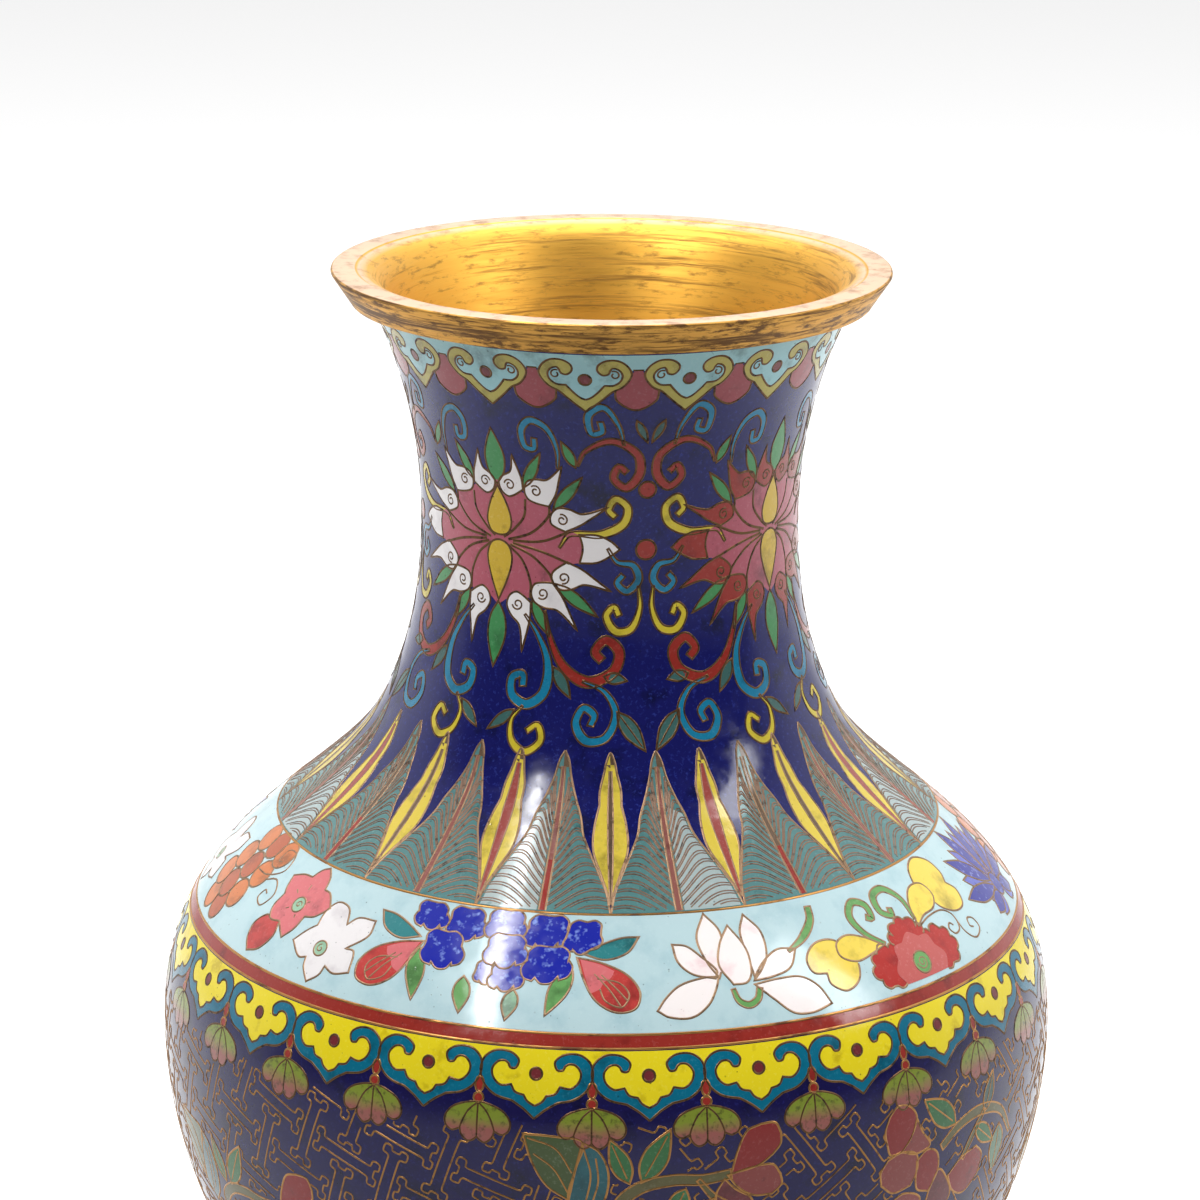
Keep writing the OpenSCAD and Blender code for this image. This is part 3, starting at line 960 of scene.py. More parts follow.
def leaf_row(node, band, tip_down, root_down, flip=False):
    """Yellow leaves between teal ones with red midribs and curved wires for veins."""
    ground(node, band, "cobalt")
    count, first = 16, 0.5
    pitch = 360 / count
    rise = abs(float(arc_at(TOP + tip_down) - arc_at(TOP + root_down)))
    turn = 180 if flip else 0
    long = rise / 25.0
    yellow = [Chart(first + pitch * k, TOP + root_down, turn=turn) for k in range(count)]
    between = [first + pitch * (k + 0.5) for k in range(count)]
    teal = [Chart(degrees, TOP + root_down, turn=turn) for degrees in between]
    flipped = [Chart(degrees, TOP + root_down, mirror=True, turn=turn) for degrees in between]
    root_r = float(wall_radius(TOP + root_down)[0])
    tip_r = float(wall_radius(TOP + tip_down)[0])

    def across(degrees, up):
        """Width in mm at the root's radius, drawn so that it has this angle at its own height."""
        radius = root_r + (tip_r - root_r) * up / rise
        return math.radians(degrees) * radius

    half = [
        (11.2, -0.4), (10.4, 3.0), (9.2, 5.6), (7.6, 8.6), (5.6, 12.2), (4.7, 15.2), (3.3, 18.0),
        (2.0, 20.8), (1.1, 23.4)
    ]
    edge = [(across(d, up * long), up * long) for d, up in half]
    outline = curve(
        mirrored([(0, -0.4 * long, 1), edge[0] + (1,)] + edge[1:] + [(0, 24.8 * long)]), closed=True
    )
    fill(band, "leaf_teal", outline, teal, 1)
    wire(band, curve(edge + [(0, 24.8 * long)]), teal)
    wire(band, curve([(-x, y) for x, y in edge] + [(0, 24.8 * long)]), teal)
    cap = [(across(1.5, 22.4 * long), 22.4 * long, 1), (0, 24.8 * long), (0, 21.6 * long, 1)]
    fill(band, "umber", curve(mirrored(cap), closed=True), teal, 2)
    rib_left = [(-0.55, -0.3), (-0.5, 8 * long), (-0.42, 16 * long), (-0.25, 22.5 * long)]
    for finish, picked in (("dusky_red", (0, 2, 3)), ("umber", (1,))):
        chosen = [c for k, c in enumerate(teal) if k % 4 in picked]
        strip(band, finish, curve(rib_left), curve(rib_left) * np.array([-1, 1]), chosen, 3)
    stub = [(-0.5, -0.3), (-0.48, 4 * long), (-0.45, 8 * long)]
    strip(band, "brick", curve(stub), curve(stub) * np.array([-1, 1]), teal[1::2], 3)
    for side in (-1, 1):
        wire(band, curve(rib_left) * np.array([side, 1]), teal)

    # The pale halves, and the pairs of vein wires.
    pale = [(0.9, -0.3), (across(10.6, 0), -0.3)]
    pale += [(across(d - 0.5, up * long), up * long) for d, up in half[1:6]] + [(0.9, 16.5 * long)]
    pale = [p + (1,) for p in pale]
    right = [c for k, c in enumerate(teal) if k % 4 == 0]
    left = [c for k, c in enumerate(flipped) if k % 4 == 3]
    fill(band, "frost", curve(pale, closed=True), right + left, 2)
    for path in barb_paths(half, long, across):
        wire(band, path, teal + flipped, finish="barb_wire", width=BARB_W)
    yellow_leaves(band, yellow, long, across)


def lobed(spots, radius):
    """A cloud outline: the outer edge of round lobes about spots that go round anticlockwise."""
    middle = np.mean(np.array(spots), axis=0)
    points = []
    for x, y in spots:
        facing = math.atan2(y - middle[1], x - middle[0])
        for k, swing in enumerate((-70, -25, 25, 70)):
            angle = facing + math.radians(swing)
            across, up = x + radius * math.cos(angle), y + radius * math.sin(angle)
            points.append((across, up, 1) if k in (0, 3) else (across, up))
    return points


def berry_cluster(band, turns):
    """Clusters of round blue flowers, with leaves below."""
    berry = Drawing(band, -16.2, -102, turns)
    for degrees, down, wide, tall, level in (
        (-17.2, -104.6, 1.9, 2.7, 0), (-14.2, -104.9, 2.9, 2.7, 1), (-28.4, -98.6, 3.1, 2.9, 2),
        (-22.2, -98.9, 3.3, 3.7, 1), (-15.9, -98.5, 3.3, 3.3, 2), (-9.2, -98.9, 3.6, 3.6, 1),
        (-3.6, -99.3, 2.9, 4.2, 2), (-24.6, -102.4, 3.6, 4.1, 3), (-15.0, -101.6, 3.5, 3.4, 3),
        (-8.6, -102.9, 3.9, 3.7, 3)
    ):
        x, y = berry.at([(degrees, down)])[0]
        blob = lobed([
            (x - 0.55 * wide, y - 0.30 * tall), (x + 0.05 * wide, y - 0.42 * tall),
            (x + 0.58 * wide, y - 0.2 * tall), (x + 0.36 * wide, y + 0.36 * tall),
            (x - 0.42 * wide, y + 0.36 * tall)
        ], 0.54 * min(wide, tall))
        berry.outlined("sapphire", curve(blob, closed=True), level)
    for base, tip, width, finish in (
        ((-20.2, -105.4), (-19.8, -110.3), 2.9, "grass"), ((-12.8, -106.4), (-13.4, -110.6), 2.6, "mint"),
        ((-28.4, -102.6), (-26.9, -109.6), 3.3, "grass"), ((-5.0, -103.0), (-8.2, -109.6), 3.2, "grass")
    ):
        berry.leaf(finish, base, tip, width)


def buds(band, turns):
    """A red bud under a teal leaf, at each side of the berries."""
    for flip in (False, True):
        bud = Drawing(band, -16.2, -102, turns, (flip,))
        bud.cell("teal_leaf", [
            (-37.2, -99.3, 1), (-34.6, -99.4), (-31.6, -100.2), (-28.8, -101.4, 1), (-32.2, -102.1),
            (-35.4, -101.2)
        ], 1)
        bud.cell("berry_red", [
            (-28.0, -101.9, 1), (-31.6, -102.5), (-35.2, -104.0), (-36.9, -106.3), (-36.2, -108.4),
            (-33.6, -108.9), (-30.9, -107.4), (-29.2, -104.8)
        ], 2)
        bud.fill("coral", [
            (-28.5, -102.1, 1), (-31.4, -102.7), (-33.4, -103.5, 1), (-32.9, -104.4), (-32.0, -104.9),
            (-31.4, -105.8), (-30.2, -106.4, 1), (-29.5, -104.8)
        ], 3)
        bud.wire([
            (-31.0, -104.5), (-34.0, -105.0), (-35.4, -106.6), (-34.4, -108.2), (-32.2, -107.4),
            (-31.4, -105.8)
        ], FINE_W)
        bud.wire([(-30.6, -103.9), (-32.6, -105.8), (-34.2, -108.0)], FINE_W)
        bud.wire([(-31.6, -104.0), (-33.8, -105.9), (-35.2, -107.4)], FINE_W)


def coral_flower(band, turns):
    """A coral flower with a red petal below."""
    coral = Drawing(band, -53.5, -103, turns)
    coral.cell("coral", [
        (-55.2, -98.7, 1), (-54.2, -97.5), (-52.8, -96.9, 1), (-51.2, -98.0), (-50.5, -99.4, 1),
        (-48.9, -99.6), (-46.9, -101.2, 1), (-48.8, -102.8), (-50.7, -103.3, 1), (-51.2, -105.2),
        (-52.6, -106.9, 1), (-54.2, -105.8), (-55.0, -105.2, 1), (-57.4, -105.4), (-58.6, -103.9),
        (-58.2, -102.0, 1), (-58.9, -101.2), (-59.6, -99.6, 1), (-57.4, -98.9)
    ], 2)
    coral.cell("berry_red", [
        (-55.0, -105.2, 1), (-54.4, -107.2), (-55.8, -109.6), (-58.2, -110.7, 1), (-59.7, -109.0),
        (-60.1, -107.0), (-58.6, -105.3), (-57.0, -105.2)
    ], 1)
    coral.disc("mint", -53.5, -102.3, 1.45, 3)
    coral.coil(-53.5, -102.3, 0.8, 0.2, 0, 1.0)
    for spot in ((-53.9, -99.6), (-51.6, -101.4), (-52.6, -104.0), (-55.6, -103.4), (-56.2, -100.8)):
        coral.wire([(-53.5 + (spot[0] + 53.5) * 0.75, -102.3 + (spot[1] + 102.3) * 0.75), spot], RAY_W)


def plum_blossom(band, turns):
    """A white flower with five petals."""
    plum = Drawing(band, -44, -105, turns + (315,))
    plum.cell("white", [
        (-47.2, -103.6, 1), (-47.3, -101.6), (-46.0, -100.1), (-43.4, -100.4), (-42.0, -102.3, 1),
        (-40.6, -101.1), (-37.4, -100.9, 1), (-37.3, -102.9), (-40.0, -105.2, 1), (-38.4, -105.3),
        (-37.7, -108.1, 1), (-40.2, -108.8), (-42.0, -108.2, 1), (-42.4, -109.6), (-44.0, -111.0, 1),
        (-45.6, -109.2), (-46.0, -107.9, 1), (-47.4, -108.2), (-50.0, -106.5, 1), (-48.4, -104.6)
    ], 2)
    plum.disc("mint", -44.3, -106.2, 1.35, 3)
    plum.coil(-44.3, -106.2, 0.8, 0.2, 90, 1.0)


def white_lotus(band, turns):
    """A white lotus on a green stalk."""
    lotus_bloom = Drawing(band, 19, -104, turns)
    for places in (
        [
            (15.7, -104.8, 1), (13.4, -104.8), (10.0, -105.6), (7.9, -107.2), (6.7, -108.8, 1),
            (8.2, -109.7), (11.2, -109.9), (13.6, -108.4), (15.0, -106.4)
        ],
        [
            (20.6, -106.3, 1), (24.0, -106.0), (27.6, -106.2), (29.8, -107.8), (31.0, -110.5, 1),
            (28.0, -111.2), (25.2, -110.8), (22.9, -108.6)
        ],
        [
            (15.2, -105.0, 1), (12.0, -104.2), (10.2, -102.6), (9.7, -100.4, 1), (11.8, -100.7),
            (13.8, -102.2), (15.6, -104.0)
        ],
        [
            (20.7, -105.8, 1), (23.6, -105.6), (26.6, -104.8), (28.4, -102.6, 1), (25.6, -102.3),
            (23.2, -103.3), (21.4, -104.8)
        ],
        [(15.8, -105.0, 1), (14.4, -102.8), (13.6, -99.8), (15.5, -96.9, 1), (17.4, -99.2), (17.0, -102.6)],
        [
            (20.9, -105.6, 1), (20.7, -102.6), (20.6, -99.6), (22.0, -97.5, 1), (23.9, -99.8),
            (23.6, -102.8), (22.3, -104.4)
        ]
    ):
        lotus_bloom.cell("petal", places, 1)
    lotus_bloom.cell("petal", [
        (17.6, -106.0, 1), (16.1, -103.4), (16.9, -100.8), (18.9, -98.6, 1), (20.7, -101.6), (20.6, -104.6),
        (19.6, -105.9)
    ], 2)
    lotus_bloom.scroll("grass", [
        (17.4, -106.6), (17.9, -108.2), (19.2, -108.9), (20.6, -108.2), (21.2, -106.8)
    ], 1.1, 0.7, 2)
    lotus_bloom.scroll("grass", [(27.2, -102.8), (30.2, -101.5), (32.8, -99.6), (33.6, -97.9)], 1.5, 0.5, 1)


def left_fruit(band, turns):
    """A pair of yellow fruits with a curled stalk."""
    fruit = Drawing(band, 36, -104, turns)
    fruit.cell("fruit_yellow", [
        (34.6, -102.4), (31.6, -102.5), (29.5, -104.2), (29.8, -106.0), (31.8, -106.5, 1), (31.9, -108.0),
        (34.0, -109.3), (36.5, -108.2), (37.4, -105.9), (36.6, -103.8)
    ], 1)
    fruit.cell("fruit_yellow", [
        (43.2, -104.9, 1), (40.4, -103.2), (37.6, -102.4), (35.3, -103.1), (35.1, -104.8), (37.4, -105.9),
        (40.4, -105.5)
    ], 2)
    fruit.scroll("grass", [
        (43.6, -104.8), (41.0, -102.8), (40.0, -100.4), (41.9, -98.8), (44.1, -99.6), (43.9, -101.3),
        (42.9, -101.0)
    ], 1.35, 0.6, 1)


def right_fruit(band, turns):
    """A second pair of yellow fruits, with curled wires."""
    second = Drawing(band, 52, -104, turns)
    second.scroll("grass", [
        (51.9, -103.3), (51.9, -100.4), (49.6, -98.5), (46.8, -98.9), (46.2, -100.9), (47.9, -101.8),
        (48.4, -100.9)
    ], 1.35, 0.6, 1)
    second.cell("fruit_yellow", [
        (57.0, -99.8, 1), (58.8, -97.8), (62.0, -97.0), (65.2, -98.2), (65.8, -100.2), (64.8, -101.5, 1),
        (66.0, -103.0), (64.8, -104.8), (62.0, -105.0), (59.2, -103.6), (58.0, -101.6)
    ], 1)
    second.cell("fruit_yellow", [
        (51.7, -104.3, 1), (52.8, -101.4), (55.4, -99.7), (58.6, -99.9), (59.4, -101.7), (57.4, -103.1),
        (54.2, -103.4)
    ], 2)
    second.wire([
        (51.9, -104.4), (55.0, -103.8), (58.6, -103.9), (60.4, -105.2), (60.0, -107.0), (58.4, -107.4),
        (57.6, -106.4), (58.4, -105.8), (59.0, -106.3)
    ], CURL_W)
    second.wire([
        (60.4, -105.2), (60.8, -107.9), (62.6, -109.4), (64.8, -108.6), (64.6, -107.1), (63.2, -106.6),
        (62.7, -107.6), (63.4, -108.0)
    ], CURL_W)


def scalloped_flower(band, turns):
    """A red flower with scalloped petals."""
    scallop = Drawing(band, 48.3, -106.5, turns)
    for level, radius, spots in (
        (0, 1.35, (
            (44.6, -105.9), (42.6, -105.6), (40.9, -106.6), (40.2, -108.2), (41.2, -109.6), (43.2, -110.0),
            (45.4, -109.4)
        )),
        (0, 1.35, (
            (51.2, -109.4), (53.6, -110.1), (55.6, -109.7), (56.5, -108.3), (55.9, -106.7), (54.2, -105.7),
            (52.2, -105.9)
        )),
        (1, 1.3, (
            (46.8, -106.2), (50.2, -106.2), (51.2, -104.6), (50.2, -103.6), (48.4, -103.1), (46.6, -103.6),
            (45.6, -104.6)
        ))
    ):
        scallop.outlined("flower_red", curve(lobed(scallop.at(spots), radius), closed=True), level)
    scallop.fill("salmon", [
        (44.2, -110.9, 1), (43.2, -109.0), (44.4, -107.2, 1), (44.8, -105.6), (46.6, -105.4, 1),
        (48.6, -104.4), (50.4, -105.4, 1), (52.2, -105.6), (52.6, -107.2, 1), (53.8, -109.0),
        (52.8, -110.9, 1)
    ], 2)
    scallop.disc("grass", 48.5, -108.7, 1.95, 3)
    scallop.coil(48.5, -108.7, 1.3, 0.25, 180, 1.6)


def orange_flower(band, turns):
    """Rows of round orange petals, with curled wires."""
    mum = Drawing(band, -71.5, -103, turns)
    for k, (degrees, down) in enumerate((
        (-73.0, -108.6), (-77.4, -108.4), (-69.8, -105.6), (-74.6, -105.6), (-79.2, -105.2), (-67.6, -101.8),
        (-72.6, -102.0), (-77.4, -101.8), (-66.0, -98.4), (-70.6, -98.2), (-75.4, -98.4)
    )):
        x, y = mum.at([(degrees, down)])[0]
        row = (3 if k > 7 else 2 if k > 4 else 1 if k > 1 else 0)
        mum.outlined("orange" if k % 3 else "rust", circle(x, y, 2.7, 2.9), row)
    mum.wire([
        (-69.6, -101.6), (-66.0, -101.4), (-62.6, -99.8), (-63.4, -97.6), (-66.2, -97.7), (-66.3, -99.3),
        (-65.2, -99.2)
    ], CURL_W)
    mum.wire([
        (-65.4, -102.0), (-62.6, -101.2), (-60.4, -102.8), (-61.6, -104.8), (-63.6, -104.2),
        (-63.2, -102.9), (-62.2, -103.2)
    ], CURL_W)


def spiky_flower(band, turns):
    """A blue flower with pointed petals."""
    spiky = Drawing(band, 80, -105, turns)
    for k in range(17):
        lean = -128 + 16 * k
        length = 16.0 if k % 2 else 13.0
        if abs(lean) > 88:
            length *= 0.5
        x, y = spiky.base.spot(0, TOP - 107.0)
        start = math.radians(90 + lean)
        outline = moved_to(
            leaf(length * 0.85, 3.4, 0.62), x + 1.8 * math.cos(start), y + 1.8 * math.sin(start), lean
        )
        spiky.outlined("violet" if k % 2 else "lilac", outline, 1 + k % 2)
    spiky.disc("violet", 80, -107.0, 2.2, 3)


def flowers(node):
    """The flower border on the shoulder."""
    band = "flowers"
    ground(node, band, "pale_blue")
    turns = (0, 170)
    for flower in (
        berry_cluster, buds, coral_flower, plum_blossom, white_lotus, left_fruit,
        right_fruit, scalloped_flower, orange_flower, spiky_flower
    ):
        flower(band, turns)


def pendants(band, gaps, tall):
    """Two beads and a fluted pendant in each gap between the lappets."""
    cell(band, "brick", circle(0, 4.7 * tall, 0.7, 1.25), gaps, 3, "gold_wire")
    cell(band, "brick", circle(0, 2.6 * tall, 0.8), gaps, 3, "gold_wire")
    hang = [
        (0, 2.0), (2.3, 1.6), (4.4, 0.6), (5.5, -1.0), (5.3, -2.4), (4.2, -3.1), (2.9, -2.6, 1),
        (2.6, -3.7), (1.5, -4.6), (0.5, -4.3), (0, -3.7, 1)
    ]
    block(curve(mirrored(hang), closed=True), gaps)
    cell(band, "pendant", curve(mirrored(hang), closed=True), gaps, 3, "dark_wire")
    for side in (-1, 1):
        rib = [(0.15 * side, 1.8), (1.5 * side, 0.5), (2.4 * side, -1.1), (2.9 * side, -2.5)]
        wire(band, curve(rib), gaps, finish="dark_wire")
    wire(band, lines([(0, 1.8), (0, -3.6)]), gaps, finish="dark_wire")


def lappet_row(node, band, up, first, strings):
    """Teal and yellow lappets that hang down, or stand up. Strings are the pendants between them."""
    ground(node, band, "navy")
    side = BAND_SIDES[node]
    turn = 180 if up else 0
    tip = side[-1][0] - 0.15 if up else side[0][0] + 0.15
    root = side[0][0] if up else side[-1][0]
    rim = abs(float(arc_at(root) - arc_at(tip))) - 0.08
    root_line = 10.4
    tall = rim / root_line
    count = 26
    pitch = 360 / count
    wide = math.radians(pitch) * float(wall_radius(tip)[0]) / 18.3
    turns = [first + pitch * k for k in range(count)]
    lappets = [Chart(t, tip, turn=turn) for t in turns]
    halves = lappets + [Chart(t, tip, mirror=True, turn=turn) for t in turns]
    gaps = [Chart(t + pitch / 2, tip, turn=turn) for t in turns]

    def fitted(points):
        """Points in mm. Those on the root line run on under the ring wire beside the row."""
        heights = [rim + RING_LAP if p[1] >= root_line else min(p[1] * tall, rim) for p in points]
        return [(p[0] * wide, y) + tuple(p[2:]) for p, y in zip(points, heights)]

    outer = [
        (0, 0, 1), (1.8, 1.5), (3.6, 2.6, 1), (6.4, 3.3), (8.3, 4.9), (9.0, 7.0), (8.4, 9.0), (6.6, 10.2),
        (4.3, 10.1), (2.9, 9.0), (3.3, 7.7), (4.2, 7.7), (4.5, 8.3, 1)
    ]
    inner = [
        (5.1, 8.7), (6.2, 8.5), (7.1, 7.3), (6.8, 5.9), (5.6, 4.9), (3.9, 5.1, 1), (3.2, 4.0),
        (1.8, 3.6, 1), (1.2, 2.7), (0, 2.0, 1)
    ]
    within = [
        (0, 1.6, 1), (3.2, 4.0), (6.6, 4.6), (8.1, 7.0), (7.2, 9.2), (6.2, 9.8), (5.25, root_line, 1),
        (0, root_line, 1)
    ]
    fill(band, "yellow", curve(fitted(within), closed=True), halves, 1)
    fill(band, "teal", curve(fitted(outer + inner), closed=True), halves, 2)
    wire(band, curve(fitted(outer + inner)), halves, finish="dark_wire")
    cell(band, "maroon", circle(0, 7.0 * tall, 1.0), lappets, 2, "dark_wire")
    corner = [
        (-3.9, root_line, 1), (-1.9, 9.8), (-0.6, 8.6), (0, 7.3, 1), (0.6, 8.6), (1.9, 9.8),
        (3.9, root_line, 1)
    ]
    fill(band, "yellow", curve(fitted(corner), closed=True), gaps, 1)
    if strings:
        pendants(band, gaps, tall)


BLOCKED = []


def block(outline, charts):
    """Keeps the fret's wires out of a motif."""
    for chart in charts:
        angle, height = chart.wall(np.asarray(outline, float))
        BLOCKED.append(np.stack([np.degrees(angle), height], axis=1))


def rounded(points, radius, step):
    """A closed straight-sided outline with its corners rounded."""
    spots = np.array(points, float)
    count = len(spots)
    result = []
    for i in range(count):
        corner = spots[i]
        back = spots[i - 1] - corner
        onward = spots[(i + 1) % count] - corner
        back_l, onward_l = np.linalg.norm(back), np.linalg.norm(onward)
        cut = min(radius, back_l / 2.1, onward_l / 2.1)
        a, b = corner + back / back_l * cut, corner + onward / onward_l * cut
        for t in (0, 0.5, 1):
            result.append((1 - t)**2 * a + 2 * t * (1 - t) * corner + t**2 * b)
        run = onward_l - cut - min(radius, onward_l / 2.1)
        extra = int(run / step)
        for k in range(1, extra + 1):
            result.append(b + onward / onward_l * run * k / (extra + 1))
    return np.array(result)


def inside_motifs(boxes, degrees, height):
    """Which points lie in a blocked motif. Boxes are the motifs' lowest and highest places."""
    spots = np.stack([degrees, height], axis=1)
    hidden = np.zeros(len(spots), bool)
    for shift in (0, 360, -360):
        near = (
            (boxes[:, 1] + shift >= degrees.min()) & (boxes[:, 0] + shift <= degrees.max())
            & (boxes[:, 3] >= height.min()) & (boxes[:, 2] <= height.max())
        )
        for index in np.flatnonzero(near):
            hidden |= inside(BLOCKED[index] + np.array([shift, 0]), spots)
    return hidden


def fret(low, high):
    """Bars with blocked ends, laid crosswise to each other over the belly."""
    unit = 2.0
    quarter = [(3.3, 0.4), (3.3, 1.15), (2.5, 1.15), (2.5, 0.5)]
    half = [(2.92, 0.4)] + quarter + [(-x, y) for x, y in reversed(quarter)] + [(-2.92, 0.4)]
    bar = half + [(-x, -y) for x, y in half]
    outline = rounded(np.array(bar) * unit, 0.5, 1.3)
    pitch = 4.2 * unit
    middle = (low + high) / 2
    reach = 60.0
    boxes = np.array([(b[:, 0].min(), b[:, 0].max(), b[:, 1].min(), b[:, 1].max()) for b in BLOCKED])
    for side, (start, end, lean) in enumerate(((-90, 8, -19), (8, 94, 36), (94, 185, -19), (185, 270, 36))):
        centre = (start + end) / 2
        chart = Chart(centre, middle)
        count = int(reach * 1.7 / pitch) + 2
        for i in range(-count, count + 1):
            for j in range(-count, count + 1):
                turn = lean + (90 if (i + j) % 2 else 0)
                c, s = math.cos(math.radians(lean)), math.sin(math.radians(lean))
                x = pitch * (i * c - j * s)
                y = pitch * (i * s + j * c)
                if abs(x) > reach * 1.35 or abs(y) > reach:
                    continue
                path = moved_to(outline, x, y, turn)
                angle, height = chart.wall(path)
                degrees = np.degrees(angle)
                free = (degrees > start + 0.6) & (degrees < end - 0.6)
                free &= (height > low + 0.8) & (height < high - 0.8)
                if not free.any():
                    continue
                free &= ~inside_motifs(boxes, degrees, height)
                for run, whole in bare_runs(free, True, 8):
                    wire(f"fret_{side + 1}", path[run], [chart], whole, "fret_wire", FRET_W)


class Blossom(Drawing):
    """A motif of the belly. Its places are given as for the one whose own spot is home."""

    def __init__(self, home, centre, level, turns, mirror):
        super().__init__("belly", centre, level, turns, (mirror,), "gold_wire")
        self.home = home
        self.level = level

    def at(self, places):
        """Places as points of the drawing, in mm."""
        return super().at([
            (
                self.centre + p[0] - self.home[0], self.level + p[1] - self.home[1]
            ) + tuple(p[2:]) for p in places
        ])

    def cell(self, finish, places, level=2):
        """A cell with a wire round it, which the fret stops at."""
        super().cell(finish, places, level)
        block(curve(self.at(places), closed=True), self.charts)

    def leaf(self, finish, base, tip, width):
        """A leaf with a vein, which the fret stops at."""
        super().leaf(finish, base, tip, width, 2, True)
        start, length, turn = self.between(base, tip)
        block(moved_to(leaf(length, width + 0.6), *start, turn), self.charts)

    def branch(self, width, places):
        """A twig, which the fret stops at."""
        self.scroll("bough", places, width, 0.7, 1)
        path = curve(self.at(places), step=1.0)
        half = width / 2 + 0.4
        outline = np.concatenate([path + sides_of(path) * half, (path - sides_of(path) * half)[::-1]])
        block(outline, self.charts)


def spray(centre, level, turns, mirror=False):
    """A flowering branch."""
    drawing = Blossom((8, -136), centre, level, turns, mirror)
    drawing.branch(2.1, [
        (20.5, -150), (12, -149), (4, -144), (1.6, -139.5), (4.0, -136.2), (8.0, -135.0), (11.5, -135.2),
        (15.0, -134.6)
    ])
    drawing.branch(1.6, [(2.4, -141), (-3, -146), (-9, -150)])
    drawing.branch(1.3, [(11.0, -135.2), (13.4, -139.0), (18.5, -143)])
    drawing.cell("deep_olive_leaf", [
        (-9.9, -127.4, 1), (-6.0, -127.6), (-2.8, -128.4), (-3.6, -133.0), (-4.4, -138.4, 1),
        (-7.0, -136.0), (-8.8, -132.0)
    ])
    drawing.cell("deep_teal_leaf", [
        (-2.8, -128.4, 1), (-0.8, -130.0), (0.3, -133.6), (-0.2, -138.4), (-2.2, -141.6, 1), (-4.4, -138.4),
        (-3.6, -133.0)
    ])
    for vein in (
        [(-9.4, -128.0), (-6.0, -129.6), (-4.0, -133.6)], [(-8.6, -130.6), (-6.2, -133.0), (-4.5, -137.0)],
        [(-2.6, -129.6), (-1.8, -134.0), (-2.6, -140.0)], [(-1.2, -131.0), (-0.9, -135.0), (-1.6, -138.8)]
    ):
        drawing.wire(vein, FINE_W)
    for finish, base, tip, width in (
        ("deep_green", (2.8, -135.4), (0.4, -127.8), 3.3),
        ("deep_green", (4.2, -135.2), (7.7, -126.4), 4.1),
        ("deep_green", (9.5, -136.6), (7.6, -142.4), 3.3),
        ("deep_olive_leaf", (13.0, -138.6), (10.6, -145.4), 3.6)
    ):
        drawing.leaf(finish, base, tip, width)
    drawing.cell("deep_flower_red", [
        (15.0, -134.6, 1), (15.8, -130.8), (17.0, -127.6), (18.8, -126.7, 1), (20.6, -126.8),
        (21.3, -128.6, 1), (21.2, -130.4), (20.2, -132.0, 1), (18.4, -133.6)
    ])
    drawing.cell("deep_salmon", [
        (14.6, -134.8, 1), (17.4, -133.9), (20.2, -133.8), (21.2, -135.6, 1), (21.4, -137.4),
        (20.2, -139.0, 1), (17.8, -138.8), (15.8, -137.0)
    ])
    drawing.cell("deep_rose", [
        (14.2, -135.4, 1), (15.6, -137.4), (17.6, -139.4), (17.6, -142.2, 1), (15.4, -142.8),
        (13.6, -141.0), (13.2, -138.0)
    ])
    drawing.cell("deep_salmon", [
        (18.4, -143.4, 1), (20.8, -141.4), (24.4, -141.8, 1), (25.8, -144.6), (24.6, -147.6, 1),
        (21.2, -148.2), (18.6, -146.4)
    ])
    drawing.cell("deep_flower_red", [
        (20.0, -149.8, 1), (23.0, -148.8), (26.0, -150.4, 1), (26.4, -153.4), (23.6, -155.4, 1),
        (20.6, -153.8)
    ])


